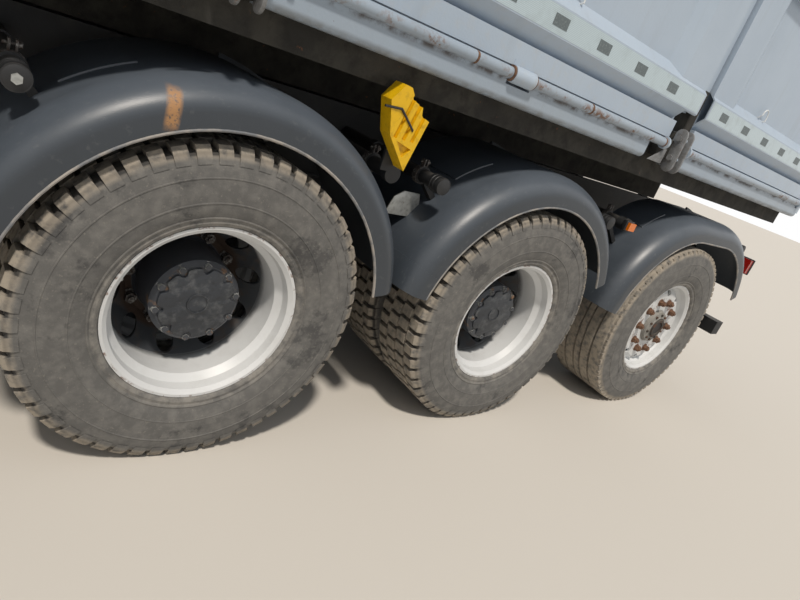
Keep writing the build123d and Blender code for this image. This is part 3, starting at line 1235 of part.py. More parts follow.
def wheels():
    for name, sign in SIDES:
        for i, x in enumerate(DRIVE_X):
            put("drive_wheel_%s_%d" % (name, i + 1), drive_wheel(x, sign))
            put("drive_tyres_%s_%d" % (name, i + 1), *twin_tyres(x, sign))
        for kind, x in (("front", FRONT_AXLE_X), ("trailing", TRAIL_X)):
            put("%s_wheel_%s" % (kind, name), single_wheel(x, sign))
            put("%s_tyre_%s" % (kind, name), single_tyre(x, sign))
            put("%s_knuckle_%s" % (kind, name), knuckle(x, sign))


def main():
    for build in (wheels, axles_and_springs, drive_line, frame_rails, subframe, engine,
                  tanks_and_boxes, exhaust, mudguards_and_arms, rear_end, coupling,
                  bumper_and_lamps, front_mudguards, cab, grille, interior, mirrors, doors,
                  body_floor, sills, body_walls, drop_sides, tailgate, cylinder):
        build()
    os.makedirs("parts", exist_ok=True)
    for name, solids in PIECES.items():
        shape = solids[0] if len(solids) == 1 else Compound(children=solids)
        export_step(shape, "parts/%s.step" % name)


if __name__ == "__main__":
    main()
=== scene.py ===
"""Looks of a four-axle tipper truck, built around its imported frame.

Metres, +X to the front, +Y to the left, +Z up.
"""

from math import atan2, cos, pi, radians, sin

import bmesh
import bpy
from mathutils import Matrix, Vector


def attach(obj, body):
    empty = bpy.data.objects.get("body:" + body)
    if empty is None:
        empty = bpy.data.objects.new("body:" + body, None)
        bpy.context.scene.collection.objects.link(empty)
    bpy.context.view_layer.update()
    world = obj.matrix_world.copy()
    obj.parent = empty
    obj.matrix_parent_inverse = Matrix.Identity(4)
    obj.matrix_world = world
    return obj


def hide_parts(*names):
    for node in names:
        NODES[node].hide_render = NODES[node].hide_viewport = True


bl_info = {
    "name": "Tipper truck",
    "version": (1, 0, 0),
    "blender": (4, 5, 0),
    "location": "View3D > Sidebar > Tipper",
    "description": "Builds the looks of a tipper truck around its frame",
    "category": "Object",
}

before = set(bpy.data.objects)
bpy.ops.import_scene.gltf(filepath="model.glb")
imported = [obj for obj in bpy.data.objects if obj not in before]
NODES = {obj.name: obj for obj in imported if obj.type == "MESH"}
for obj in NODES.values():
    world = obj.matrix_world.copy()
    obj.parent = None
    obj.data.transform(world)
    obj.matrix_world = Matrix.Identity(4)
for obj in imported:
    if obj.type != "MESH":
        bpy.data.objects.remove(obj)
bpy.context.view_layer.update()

MM = 0.001
SIDES = (("left", 1), ("right", -1))
AXLE_Z = 0.534
FRONT_X, DRIVE_X, TRAIL_X = 2.85, (-0.35, -1.77), -3.195
AXLES_X = (FRONT_X,) + DRIVE_X + (TRAIL_X,)
# Each wheel's kind, the rest of its name, its side and its axle
WHEELS = [wheel for hand, sign in SIDES for wheel in (
    ("drive", hand + "_1", sign, DRIVE_X[0]), ("drive", hand + "_2", sign, DRIVE_X[1]),
    ("front", hand, sign, FRONT_X), ("trailing", hand, sign, TRAIL_X))]


# Small tools

def linear(text):
    """sRGB hex colour as linear red, green, blue and alpha."""
    values = [int(text[i:i + 2], 16) / 255 for i in (1, 3, 5)]
    return [v / 12.92 if v <= 0.04045 else ((v + 0.055) / 1.055) ** 2.4 for v in values] + [1.0]


def feed(tree, node, inputs):
    """Give a node's sockets a value, or link them to another node's output."""
    for key, value in inputs.items():
        if isinstance(value, bpy.types.NodeSocket):
            tree.links.new(value, node.inputs[key])
        else:
            node.inputs[key].default_value = value


def add(tree, kind, inputs=None, out=0, **settings):
    """Add one node with its settings and links. Gives the output asked for."""
    node = tree.nodes.new("ShaderNode" + kind)
    for key, value in settings.items():
        setattr(node, key, value)
    feed(tree, node, inputs or {})
    return node.outputs[out] if node.outputs else None


# Masks: each takes the tree and the place in the object's own frame, and gives a value from 0 to 1

def between(low, high, source):
    """Rises from 0 to 1 between low and high of a value, or falls where low is the larger."""
    def mask(tree, place):
        return add(tree, "MapRange", {"Value": source(tree, place), "From Min": low,
                                      "From Max": high})
    return mask


def spots(size_mm, low, high, stretch=(1, 1, 1), shift=0.0, detail=5.0, rough=0.6):
    """Cloudy patches about size_mm across."""
    def cloud(tree, place):
        where = add(tree, "Mapping", {"Vector": place, "Location": (shift, shift, shift),
                                      "Scale": stretch})
        return add(tree, "TexNoise", {"Vector": where, "Scale": 1 / (size_mm * MM),
                                      "Detail": detail, "Roughness": rough})
    return between(low, high, cloud)


def facing(axis, low, high):
    """Faces that look along an axis: 0 X, 1 Y, 2 Z."""
    def look(tree, place):
        return add(tree, "SeparateXYZ", {0: add(tree, "NewGeometry", out="Normal")}, out=axis)
    return between(low, high, look)


def along(axis, low, high, size=False):
    """The place on an axis, or with size its distance from the middle plane."""
    def part(tree, place):
        value = add(tree, "SeparateXYZ", {0: place}, out=axis)
        return add(tree, "Math", {0: value}, operation="ABSOLUTE") if size else value
    return between(low, high, part)


def from_axle(low, high):
    """The distance from the nearest axle's line."""
    def nearest(tree, place):
        flat = add(tree, "VectorMath", {0: place, 1: (1, 0, 1)}, operation="MULTIPLY")
        least = None
        for x in AXLES_X:
            away = add(tree, "VectorMath", {0: flat, 1: (x, 0, AXLE_Z)}, "Value",
                       operation="DISTANCE")
            least = add(tree, "Math", {0: least, 1: away}, operation="MINIMUM") if least else away
        return least
    return between(low, high, nearest)


def hatched(axis, step_mm, duty=0.35):
    """Even lines across an axis."""
    def mask(tree, place):
        part = add(tree, "SeparateXYZ", {0: place}, out=axis)
        turns = add(tree, "Math", {0: part, 1: 1 / (step_mm * MM)}, operation="MULTIPLY")
        saw = add(tree, "Math", {0: turns}, operation="FRACT")
        return add(tree, "Math", {0: saw, 1: duty}, operation="LESS_THAN")
    return mask


def times(*masks):
    """Where all the masks hold."""
    def mask(tree, place):
        whole = masks[0](tree, place)
        for other in masks[1:]:
            whole = add(tree, "Math", {0: whole, 1: other(tree, place)}, operation="MULTIPLY")
        return whole
    return mask


def coated(name, base, *layers, rough=0.5, metal=0.0, coat=0.0, bump_mm=0.0, bump_size=2.0):
    """A surface of one base colour under layers of (colour, share, mask, roughness)."""
    material = bpy.data.materials.new(name)
    material.use_nodes = True
    tree = material.node_tree
    place = add(tree, "TexCoord", out="Object")
    colour, roughness = linear(base), rough
    for tone, share, mask, layer_rough in layers:
        amount = mask(tree, place)
        if share < 1:
            amount = add(tree, "Math", {0: amount, 1: share}, operation="MULTIPLY")
        colour = add(tree, "Mix", {0: amount, 6: colour, 7: linear(tone)}, 2, data_type="RGBA",
                     clamp_factor=True)
        roughness = add(tree, "Mix", {0: amount, 2: roughness, 3: layer_rough}, data_type="FLOAT",
                        clamp_factor=True)
    sockets = {"Base Color": colour, "Roughness": roughness, "Metallic": metal,
               "Coat Weight": coat}
    if bump_mm:
        height = spots(bump_size, 0.3, 0.7)(tree, place)
        sockets["Normal"] = add(tree, "Bump", {"Height": height, "Distance": bump_mm * MM,
                                               "Strength": 1.0})
    feed(tree, tree.nodes["Principled BSDF"], sockets)


# Shapes

def rounded(bm, edges, size, segments=2):
    """Round edges off."""
    bmesh.ops.bevel(bm, geom=edges, offset=size, offset_type="OFFSET", affect="EDGES",
                    segments=segments, profile=0.5, material=-1)


def block(bm, start, end, bevel=0.0, segments=2):
    """Box between two opposite corners, with rounded edges."""
    made = bmesh.ops.create_cube(bm, size=1.0)["verts"]
    bmesh.ops.scale(bm, vec=[abs(b - a) for a, b in zip(start, end)], verts=made)
    bmesh.ops.translate(bm, vec=[(a + b) / 2 for a, b in zip(start, end)], verts=made)
    if bevel:
        rounded(bm, list({e for v in made for e in v.link_edges}), bevel, segments)


def rod(bm, start, end, radius, sides=16, radius_end=None):
    """Round bar, or a cone, from start to end."""
    start, end = Vector(start), Vector(end)
    turn = (end - start).to_track_quat("Z", "Y").to_matrix().to_4x4()
    bmesh.ops.create_cone(bm, cap_ends=True, segments=sides, radius1=radius,
                          radius2=radius if radius_end is None else radius_end,
                          depth=(end - start).length,
                          matrix=Matrix.Translation((start + end) / 2) @ turn)


def hexagon(bm, start, end, across):
    """Bolt head or nut, by its width over two flats."""
    rod(bm, start, end, across / 2 / cos(pi / 6), sides=6)


def wire(bm, points, radius):
    """Bent wire through points, as short round bars that overlap at the bends."""
    for start, end in zip(points, points[1:]):
        rod(bm, start, end, radius, sides=8)
    for point in points[1:-1]:
        bmesh.ops.create_icosphere(bm, subdivisions=2, radius=radius,
                                   matrix=Matrix.Translation(point))


def corners(u0, u1, v0, v1):
    """Outline of a rectangle."""
    return [(u0, v0), (u1, v0), (u1, v1), (u0, v1)]


def on_side(sign, points):
    """Points of the left side, set on the side with this sign."""
    return [(x, sign * y, z) for x, y, z in points]


def stadium(y, z0, z1, radius, steps=12):
    """Outline with round ends, from one centre up to the other."""
    return [(y + radius * cos(pi * k / steps + start), z + radius * sin(pi * k / steps + start))
            for z, start in ((z1, 0), (z0, pi)) for k in range(steps + 1)]


def placed(axis, where, outline):
    """Flat outline set at a place on an axis."""
    points = [list(point) for point in outline]
    for point in points:
        point.insert(axis, where)
    return points


def loop_of(bm, axis, where, outline, radius):
    """Closed loop of bars with round corners: a seal or a lamp's rim."""
    points = placed(axis, where, outline)
    wire(bm, points + points[:2], radius)


def verts_in(geom):
    return [g for g in geom if isinstance(g, bmesh.types.BMVert)]


def extruded(bm, face, shift):
    """Draw a face out into a solid. Gives the far end's edges."""
    out = bmesh.ops.extrude_face_region(bm, geom=[face])["geom"]
    bmesh.ops.translate(bm, vec=shift, verts=verts_in(out))
    return [g for g in out if isinstance(g, bmesh.types.BMEdge)]


def plate(bm, axis, low, high, outline, bevel):
    """Flat plate of any outline between two places on an axis."""
    face = bm.faces.new([bm.verts.new(point) for point in placed(axis, low, outline)])
    far = extruded(bm, face, placed(axis, high - low, [(0.0, 0.0)])[0])
    rounded(bm, list(face.edges) + far, bevel)


def turned(bm, points, x, z, sign=1, steps=64, start=0.0, turn=360.0, closed=True):
    """Spin an outline of (radius, y) about the Y line through (x, z), in degrees from the top."""
    lean = radians(start)
    first = [bm.verts.new((x + r * sin(lean), sign * y, z + r * cos(lean))) for r, y in points]
    edges = [bm.edges.new(pair) for pair in zip(first, first[1:] + first[:closed])]
    bmesh.ops.spin(bm, geom=first + edges, cent=(x, 0, z), axis=(0, 1, 0), dvec=(0, 0, 0),
                   angle=radians(turn), steps=steps, use_merge=turn >= 360.0, use_duplicate=False)
    return first


def geometry_since(bm, faces_before, verts_before):
    """Vertices, edges and faces added after the counts were taken."""
    bm.verts.ensure_lookup_table()
    bm.faces.ensure_lookup_table()
    faces = bm.faces[faces_before:]
    return bm.verts[verts_before:] + list({e for f in faces for e in f.edges}) + faces


def ring_copies(bm, geom, x, count):
    """Copies of geom round the axle at x."""
    bmesh.ops.spin(bm, geom=geom, cent=(x, 0, AXLE_Z), axis=(0, 1, 0), dvec=(0, 0, 0),
                   angle=radians(360.0 * (count - 1) / count), steps=count - 1, use_merge=False,
                   use_duplicate=True)


def shown(name, bm, finish):
    """Turn a finished bmesh into an object at the origin."""
    mesh = bpy.data.meshes.new(name)
    bm.to_mesh(mesh)
    bm.free()
    mesh.materials.append(bpy.data.materials[finish])
    obj = bpy.data.objects.new(name, mesh)
    bpy.context.scene.collection.objects.link(obj)
    return obj


def piece(name, bm, finish, body, smooth_deg=35.0):
    """Turn a finished bmesh into an object that rides on a body."""
    bmesh.ops.recalc_face_normals(bm, faces=bm.faces)
    for face in bm.faces:
        face.smooth = True
    for edge in bm.edges:
        if len(edge.link_faces) == 2:
            edge.smooth = edge.calc_face_angle(0.0) < radians(smooth_deg)
    obj = shown(name, bm, finish)
    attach(obj, body)
    return obj


# Settings a user would change

def hex_colour(name, what, default):
    return bpy.props.StringProperty(name=name, description="sRGB hex of " + what, default=default)


class TipperPaint(bpy.types.PropertyGroup):
    """Colours of the paints and plastics."""
    body: hex_colour("Body paint", "the body's paint", "#acbac9")
    cab: hex_colour("Cab paint", "the cab's paint", "#a9b7c6")
    guard: hex_colour("Mudguards", "the guards' plastic", "#373d44")
    rubber: hex_colour("Tyres", "the dusty sidewalls", "#605f5d")
    rim: hex_colour("Rims", "the rims' paint", "#d2d4d5")
    rust: bpy.props.FloatProperty(name="Rust", description="How much rust shows on the paint",
                                  default=1.0, min=0.0, max=2.0, subtype="FACTOR")


class TipperTyres(bpy.types.PropertyGroup):
    """Tread of the tyres."""
    lugs: bpy.props.IntProperty(name="Shoulder lugs", description="Lugs round one shoulder",
                                default=54, min=24, max=80)
    lug_length: bpy.props.FloatProperty(name="Lug length", description="Length of a shoulder lug",
                                        default=0.040, min=0.01, max=0.08, unit="LENGTH")
    groove: bpy.props.FloatProperty(name="Groove", description="Depth of the tread's grooves",
                                    default=0.018, min=0.002, max=0.025, unit="LENGTH")


class TipperStage(bpy.types.PropertyGroup):
    """Light and floor."""
    sky: bpy.props.FloatProperty(name="Sky", description="Strength of the soft sky light",
                                 default=0.42, min=0.0, max=3.0)
    lamp: bpy.props.FloatProperty(name="Lamp", description="Strength of the key lamp",
                                  default=2.7, min=0.0, max=10.0)


# Finishes

DUST, RUST, GROOVE_SHADE = "#a99d8c", "#6b4630", "#2b2c2e"
AMBER, RED = "#e8770f", "#a3130f"
# Which nodes of the frame take each finish, by the start of their names
DRESSED = {
    "body_enamel": ("body_walls", "tailgate", "drop_side_"),
    "sill_shaded_enamel": ("body_sills",),
    "underbody_shade_and_dirt": ("body_floor",),
    "cab_enamel": ("cab_shell", "door_left", "door_right"),
    "guard_polyethylene": ("rear_mudguards", "front_mudguards", "front_bumper"),
    "chassis_lacquer": ("frame_rails", "tipping_subframe", "steered_axles", "drive_axles",
                        "drive_shafts", "underrun_bar", "battery_box_and_air_tanks",
                        "mudguard_arms", "tip_cylinder_tube"),
    "cast_iron_dusty": ("engine_and_radiator", "tow_coupling", "front_knuckle_",
                        "trailing_knuckle_"),
    "tank_aluminium": ("fuel_tank", "exhaust"),
    "chock_yellow_abs": ("wheel_chocks",),
    "lens_acrylic": ("lamps",),
    "tinted_glass": ("cab_glass", "door_glass_"),
    "black_polypropylene": ("grille", "cab_interior", "mirrors"),
    "hard_chrome": ("tip_cylinder_stage_",),
    "rim_enamel": ("drive_wheel_",),
    "rim_enamel_single": ("front_wheel_", "trailing_wheel_"),
    "tyre_rubber": ("drive_tyres_", "front_tyre_", "trailing_tyre_"),
}


class TIPPER_OT_finishes(bpy.types.Operator):
    """Make the materials and put them on the frame's nodes"""
    bl_idname = "tipper.finishes"
    bl_label = "Finishes"

    def execute(self, context):
        paint = context.scene.tipper_paint
        chips = min(1, 0.9 * paint.rust)

        # Two-pack truck enamel, sprayed: even and half glossy, with faint dirt runs and rusty chips
        def enamel(name, base, *grime):
            coated(name, base,
                   ("#93a3b5", 0.5, spots(900, 0.4, 0.7), 0.4),
                   ("#85827a", 0.2, spots(90, 0.55, 0.8, stretch=(1, 1, 0.12), shift=3), 0.55),
                   (RUST, chips, spots(14, 0.745, 0.78, shift=7, detail=8), 0.9), *grime,
                   rough=0.34, bump_mm=0.2, bump_size=9)
        enamel("body_enamel", paint.body,
               ("#b9b2a4", 0.25, times(along(2, 1.9, 1.55), spots(40, 0.5, 0.75)), 0.8))
        enamel("cab_enamel", paint.cab,
               ("#8f887b", 0.45, times(along(2, 1.3, 0.7), spots(120, 0.3, 0.7)), 0.8))
        # The same enamel with painted shade: its base is darker, as the sill lies in shade under
        # the drop sides. Patchily darker towards the bottom, with jagged rust along the hinge rod
        enamel("sill_shaded_enamel", "#98a4b0",
               ("#6e6a60", 0.6, times(along(2, 1.445, 1.42), spots(50, 0.4, 0.6)), 0.8),
               ("#7a5b45", chips, times(along(2, 1.535, 1.515), along(2, 1.492, 1.505),
                                        spots(150, 0.5, 0.6, shift=9),
                                        spots(16, 0.45, 0.55, detail=8)), 0.95),
               # Dark brown band just under the hinge rod: painted shade where the rod overhangs the
               # sill
               ("#4a3f37", 0.8, times(along(2, 1.504, 1.496), along(2, 1.48, 1.492),
                                      spots(70, 0.45, 0.6, shift=4)), 0.9))
        # Underside of the tipping floor: a near-black base as painted shade under the body, with
        # grey-brown road dirt, darker patches and rust specks
        coated("underbody_shade_and_dirt", "#292825",
               ("#403e39", 1, spots(110, 0.4, 0.65), 0.95),
               ("#1a1816", 0.8, spots(60, 0.5, 0.7, shift=6), 0.9),
               (RUST, chips, spots(30, 0.68, 0.74, shift=3), 0.95),
               ("#8a8f90", 1, times(facing(2, 0.5, 0.9), along(2, 1.495, 1.505)), 0.5),
               rough=0.9, bump_mm=0.4, bump_size=5)
        # Moulded polyethylene, weathered: a smooth sheen, lighter on the faces that look up as
        # painted light, scuffed, one tan scrape
        scrape = times(along(0, -0.151, -0.140), along(0, -0.108, -0.119), along(2, 1.070, 1.095),
                       along(2, 1.182, 1.165), along(1, 1.12, 1.16), spots(9, 0.28, 0.5))
        coated("guard_polyethylene", paint.guard,
               # Paler on the faces that look up: painted light from above
               ("#5d656f", 0.8, facing(2, 0.2, 0.95), 0.4),
               ("#2b3137", 0.35, spots(170, 0.5, 0.8), 0.38),
               ("#8d8f8c", 0.22, spots(30, 0.6, 0.8, shift=2, stretch=(1, 3, 1)), 0.7),
               ("#b08355", 0.85, scrape, 0.7), rough=0.34, bump_mm=0.12, bump_size=3)
        coated("guard_bead", "#6e7175", ("#a9a299", 0.8, spots(60, 0.4, 0.6), 0.7), rough=0.5)
        # Vulcanised rubber under road dust: grey walls, darker smears, tan in the lugs, and painted
        # shade dark in the grooves between the lugs
        coated("tyre_rubber", paint.rubber,
               ("#817f7b", 0.6, spots(38, 0.42, 0.7), 0.95),
               ("#3a3a3b", 0.7, spots(190, 0.57, 0.64, shift=5, rough=0.7), 0.8),
               ("#8d8981", 0.5, spots(9, 0.6, 0.7, shift=8, detail=8), 0.9),
               ("#96928b", 0.6, times(from_axle(0.335, 0.320), spots(40, 0.4, 0.6)), 0.95),
               ("#a89e8f", 0.8, times(from_axle(0.496, 0.514), spots(30, 0.3, 0.55)), 1.0),
               # Dark at the groove floors between the lugs: painted shade
               (GROOVE_SHADE, 0.85, times(from_axle(0.522, 0.514), from_axle(0.503, 0.508),
                                  along(1, 1.236, 1.228, size=True)), 0.95),
               rough=0.85, bump_mm=0.3, bump_size=4)
        # Silver-white rim enamel, rusty at the flange; twin discs are dark grey, brown at the nuts
        film = ("#a5a39e", 0.3, spots(120, 0.5, 0.75), 0.6)
        flange_rust = (RUST, 0.75, times(from_axle(0.290, 0.295),
                                         spots(26, 0.53, 0.62, shift=4)), 0.9)
        disc = times(from_axle(0.259, 0.251), along(1, 1.07, 1.04, size=True))
        coated("rim_enamel", paint.rim, film, flange_rust, ("#34373b", 1, disc, 0.5),
               ("#4a4039", 0.7, times(disc, spots(50, 0.5, 0.65)), 0.9),
               ("#3b2d24", 1, times(from_axle(0.203, 0.192), spots(60, 0.15, 0.4)), 0.9),
               ("#3c3f45", 1, times(from_axle(0.153, 0.150), spots(40, 0.1, 0.3)), 0.45),
               ("#7d6148", 0.8, times(from_axle(0.152, 0.150), along(1, 1.085, 1.10, size=True),
                                      spots(40, 0.58, 0.66, shift=2)), 0.9),
               rough=0.4, bump_mm=0.25, bump_size=5)
        coated("rim_enamel_single", paint.rim, film, flange_rust,
               (RUST, 0.75, times(from_axle(0.197, 0.188), from_axle(0.130, 0.142),
                                  spots(22, 0.5, 0.62, shift=2)), 0.9),
               ("#6f6a60", 0.8, from_axle(0.115, 0.105), 0.8),
               ("#2a2726", 1, from_axle(0.068, 0.066), 0.7),
               rough=0.45, bump_mm=0.3, bump_size=5)
        # Wheel nuts left bare: brown rust all over, or black with worn grey rims
        coated("rusty_steel", "#6d503e", ("#8c6a4f", 1, spots(8, 0.5, 0.7), 0.9),
               ("#3f3028", 0.8, spots(12, 0.48, 0.66, shift=3), 0.9), rough=0.85, bump_mm=0.3)
        coated("nut_steel_dark", "#4d4a48", ("#8f8e8b", 0.8, spots(7, 0.5, 0.62), 0.5),
               ("#3a2a20", 0.8, spots(12, 0.45, 0.65, shift=3), 0.9), rough=0.6, metal=0.5)
        # Chassis lacquer and sand-cast iron, under a film of dust that lies on what faces up
        coated("chassis_lacquer", "#17181a", ("#4a4640", 0.3, spots(80, 0.5, 0.75), 0.85),
               ("#4e4a44", 0.4, facing(2, 0.5, 0.95), 0.9), rough=0.6, bump_mm=0.2, bump_size=4)
        coated("cast_iron_dusty", "#3a3632", (RUST, 0.7, spots(35, 0.5, 0.65), 0.9),
               ("#6e675d", 0.4, facing(2, 0.4, 0.9), 0.9), rough=0.75, metal=0.2, bump_mm=0.5,
               bump_size=4)
        # Rolled aluminium, with the mill's long streaks; chrome plate, nearly clean
        coated("tank_aluminium", "#b9bcbe",
               ("#8f9295", 0.5, spots(6, 0.4, 0.7, stretch=(0.05, 1, 1)), 0.4),
               (DUST, 0.5, facing(2, 0.5, 0.95), 0.8), rough=0.32, metal=1.0)
        coated("hard_chrome", "#c3c5c7", ("#8a8b8c", 0.4, spots(20, 0.5, 0.7), 0.25), rough=0.12,
               metal=1.0)
        # Moulded plastics: greasy yellow ABS and dull black polypropylene
        coated("chock_yellow_abs", "#e3b50c", ("#8c6a10", 0.5, spots(25, 0.5, 0.75), 0.6),
               ("#4a3a18", 0.6, spots(60, 0.6, 0.75, shift=9), 0.7), rough=0.4, bump_mm=0.2,
               bump_size=3)
        coated("black_polypropylene", "#1b1c1e", ("#3a3b3c", 0.5, spots(50, 0.5, 0.75), 0.6),
               rough=0.5, bump_mm=0.15)
        # Lamps moulded in acrylic: amber at the sides, clear in front, red behind, with fine ribs
        coated("lens_acrylic", AMBER, ("#c9ced0", 1, along(0, 3.9, 4.0), 0.1),
               (RED, 1, along(0, -3.9, -4.0), 0.2),
               ("#5a2a06", 0.35, spots(3, 0.45, 0.6, stretch=(1, 1, 0.2)), 0.2), rough=0.15,
               coat=0.5)
        for name, base, rib in (("amber", AMBER, "#a34f08"), ("red", RED, "#6d0b09")):
            coated(name + "_lens_acrylic", base, (rib, 0.6, hatched(2, 5.0), 0.2), rough=0.15,
                   coat=0.5)
        # Float glass, dark and mirror-smooth, and silvered glass under a thin haze
        coated("tinted_glass", "#3b4a4c", ("#59666a", 0.3, spots(400, 0.5, 0.8), 0.15), rough=0.05,
               coat=1.0)
        coated("mirror_glass", "#d5dadc", ("#aeb3b5", 0.4, spots(60, 0.5, 0.8), 0.2), rough=0.04,
               metal=1.0)
        # Galvanised and forged steel: dull grey with darker smudges and a little rust
        coated("bright_zinc", "#a9aba9", (RUST, 0.7, spots(14, 0.66, 0.72), 0.8),
               ("#63645f", 0.6, spots(20, 0.45, 0.7, shift=2), 0.6), rough=0.4, metal=0.4)
        coated("latch_steel", "#858789", ("#5f5c59", 0.5, spots(25, 0.42, 0.6), 0.7),
               (RUST, 0.6, spots(12, 0.62, 0.68, shift=2), 0.9), rough=0.45, metal=0.3)
        # Black enamel on the hub covers, handled and worn to grey in patches
        coated("cover_black_enamel", "#2c3036", ("#6d6f70", 0.5, spots(35, 0.5, 0.7), 0.6),
               ("#1b1d20", 0.6, spots(18, 0.5, 0.7, shift=5), 0.4), rough=0.38, bump_mm=0.2)
        # Woven reflective tape under clear film, dusty in patches. Its level threads are drawn
        # 5 mm apart, coarser than real ones, so that they show
        coated("reflective_tape", "#abbcc4", ("#c9d9de", 0.6, hatched(2, 5.0), 0.3),
               ("#8e9a9c", 0.4, spots(80, 0.5, 0.75), 0.5), rough=0.3, coat=0.4)
        coated("tape_label_grey", "#5c6669", ("#8d979a", 0.5, spots(8, 0.5, 0.7), 0.5), rough=0.5)
        # White film and paint: glossy, with dust or rusty specks
        coated("plate_white", "#d6d8d6", (DUST, 0.5, spots(50, 0.45, 0.7), 0.7), rough=0.2,
               coat=0.5)
        coated("hook_white", "#d9dcdc", (RUST, 1, spots(12, 0.6, 0.68), 0.9), rough=0.4)

        for finish, starts in DRESSED.items():
            for name in NODES:
                if name.startswith(starts):
                    mesh = NODES[name].data
                    mesh.materials.clear()
                    mesh.materials.append(bpy.data.materials[finish])
        return {"FINISHED"}


# Wheels

# A twin tyre's outer wall, from bead to tread: radius and distance from its middle
DRIVE_WALL = ((0.2855, 0.1155), (0.2990, 0.1155), (0.3005, 0.1280), (0.3060, 0.1345),
              (0.3130, 0.1375), (0.3180, 0.1362), (0.3225, 0.1362), (0.3260, 0.1395),
              (0.3285, 0.1425), (0.3310, 0.1425), (0.3330, 0.1408), (0.3450, 0.1465),
              (0.3620, 0.1515), (0.3760, 0.1535), (0.3775, 0.1553), (0.3800, 0.1553),
              (0.3815, 0.1540), (0.4000, 0.1552), (0.4250, 0.1546), (0.4480, 0.1530),
              (0.4495, 0.1545), (0.4520, 0.1545), (0.4535, 0.1525), (0.4700, 0.1495),
              (0.4880, 0.1450), (0.5000, 0.1405), (0.5120, 0.1320), (0.5160, 0.1180))
TREAD_R, TYRE_STEPS = 0.534, 96
TWIN_Y, SINGLE_Y = (1.094, 0.744), 1.082
SHOULDER_LUG = ((0.486, 0.1475), (0.502, 0.1445), (0.520, 0.1360), (TREAD_R, 0.1235),
                (TREAD_R, 0.0720))
CENTRE_BLOCK = ((TREAD_R, 0.0625), (TREAD_R, 0.0060))
BLOCK_LENGTH = 1.12            # a centre block's length in shoulder lugs
SINGLE_SPREAD = 0.0365         # how much wider each half of a single tyre is
SINGLE_SHOULDER = [(0.505, 0.1785), (0.522, 0.1700), (TREAD_R - 0.001, 0.1560)]
RIBS = ((0.152, 0.096), (0.082, 0.030), (0.016, -0.016), (-0.030, -0.082), (-0.096, -0.152))
NOTCHES, NOTCH_Y, NOTCH_R, NOTCH_HALF = 72, 0.1685, (0.500, 0.5305), (0.014, 0.006)


def drive_lugs(bm, x, middle, groove, count, length):
    """Two rows of shoulder lugs and two rows of centre blocks round a drive tyre."""
    base = TREAD_R - groove - 0.003
    rows = ((0.0, SHOULDER_LUG + ((base, 0.0700),), length),
            (0.5, CENTRE_BLOCK + ((base, 0.0040), (base, 0.0640)), length * BLOCK_LENGTH))
    for edge, stagger in ((1, 0.0), (-1, 0.25)):
        for lead, profile, size in rows:
            faces, verts = len(bm.faces), len(bm.verts)
            shift = (lead + stagger) * 2 * pi / count
            face = bm.faces.new([bm.verts.new((
                x + r * sin(shift) - size / 2 * cos(shift), middle + edge * y,
                AXLE_Z + r * cos(shift) + size / 2 * sin(shift))) for r, y in profile])
            extruded(bm, face, (size * cos(shift), 0, -size * sin(shift)))
            ring_copies(bm, geometry_since(bm, faces, verts), x, count)


def drive_tyre(bm, x, middle, settings):
    """One twin tyre: ringed walls and block tread."""
    wall = [(min(r, TREAD_R - settings.groove), middle + y) for r, y in DRIVE_WALL]
    far = [(r, 2 * middle - y) for r, y in reversed(wall)]
    turned(bm, wall + far, x, AXLE_Z, steps=TYRE_STEPS)
    drive_lugs(bm, x, middle, settings.groove, settings.lugs, settings.lug_length)


def single_tyre(bm, x, middle, settings):
    """Wide ribbed tyre with straight grooves and notched shoulders."""
    wall = [(r, y + SINGLE_SPREAD) for r, y in DRIVE_WALL[:-3]] + SINGLE_SHOULDER
    floor, tread = TREAD_R - settings.groove, []
    for start, end in RIBS:
        tread += [(floor, start + 0.003), (TREAD_R, start), (TREAD_R, end), (floor, end - 0.003)]
    outline = wall + tread[1:-1] + [(r, -y) for r, y in reversed(wall)]
    turned(bm, [(r, middle + y) for r, y in outline], x, AXLE_Z, steps=TYRE_STEPS)
    (half_x, half_y), (low, high) = NOTCH_HALF, NOTCH_R
    for y in (middle + NOTCH_Y, middle - NOTCH_Y):
        faces, verts = len(bm.faces), len(bm.verts)
        block(bm, (x - half_x, y - half_y, AXLE_Z + low), (x + half_x, y + half_y, AXLE_Z + high))
        ring_copies(bm, geometry_since(bm, faces, verts), x, NOTCHES)


class TIPPER_OT_tyres(bpy.types.Operator):
    """Build the treaded tyres in place of the plain ones"""
    bl_idname = "tipper.tyres"
    bl_label = "Tyres"

    def execute(self, context):
        settings = context.scene.tipper_tyres
        for kind, tag, sign, x in WHEELS:
            body = "%s_wheel_%s" % (kind, tag)
            bm = bmesh.new()
            if kind == "drive":
                for middle in TWIN_Y:
                    drive_tyre(bm, x, sign * middle, settings)
                made = piece("twin_tyres_" + tag, bm, "tyre_rubber", body)
                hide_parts("drive_tyres_" + tag)
            else:
                single_tyre(bm, x, sign * SINGLE_Y, settings)
                made = piece("%s_tyre_%s_tread" % (kind, tag), bm, "tyre_rubber", body)
                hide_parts("%s_tyre_%s" % (kind, tag))
        return {"FINISHED"}


def nut_ring(bm, x, sign, y, radius, count, across, height, washer, stud, turn):
    """Hex nuts with washers and stud ends on a bolt circle."""
    faces, verts = len(bm.faces), len(bm.verts)
    z = AXLE_Z + radius
    foot = (x, sign * y, z)
    if washer:
        rod(bm, foot, (x, sign * (y + WASHER_T), z), washer, sides=20)
    hexagon(bm, foot, (x, sign * (y + height), z), across)
    if stud:
        rod(bm, foot, (x, sign * (y + height + stud), z), across * STUD_SHARE, sides=12)
    geom = geometry_since(bm, faces, verts)
    bmesh.ops.rotate(bm, cent=(x, 0, AXLE_Z), matrix=Matrix.Rotation(radians(turn), 3, "Y"),
                     verts=verts_in(geom))
    ring_copies(bm, geom, x, count)


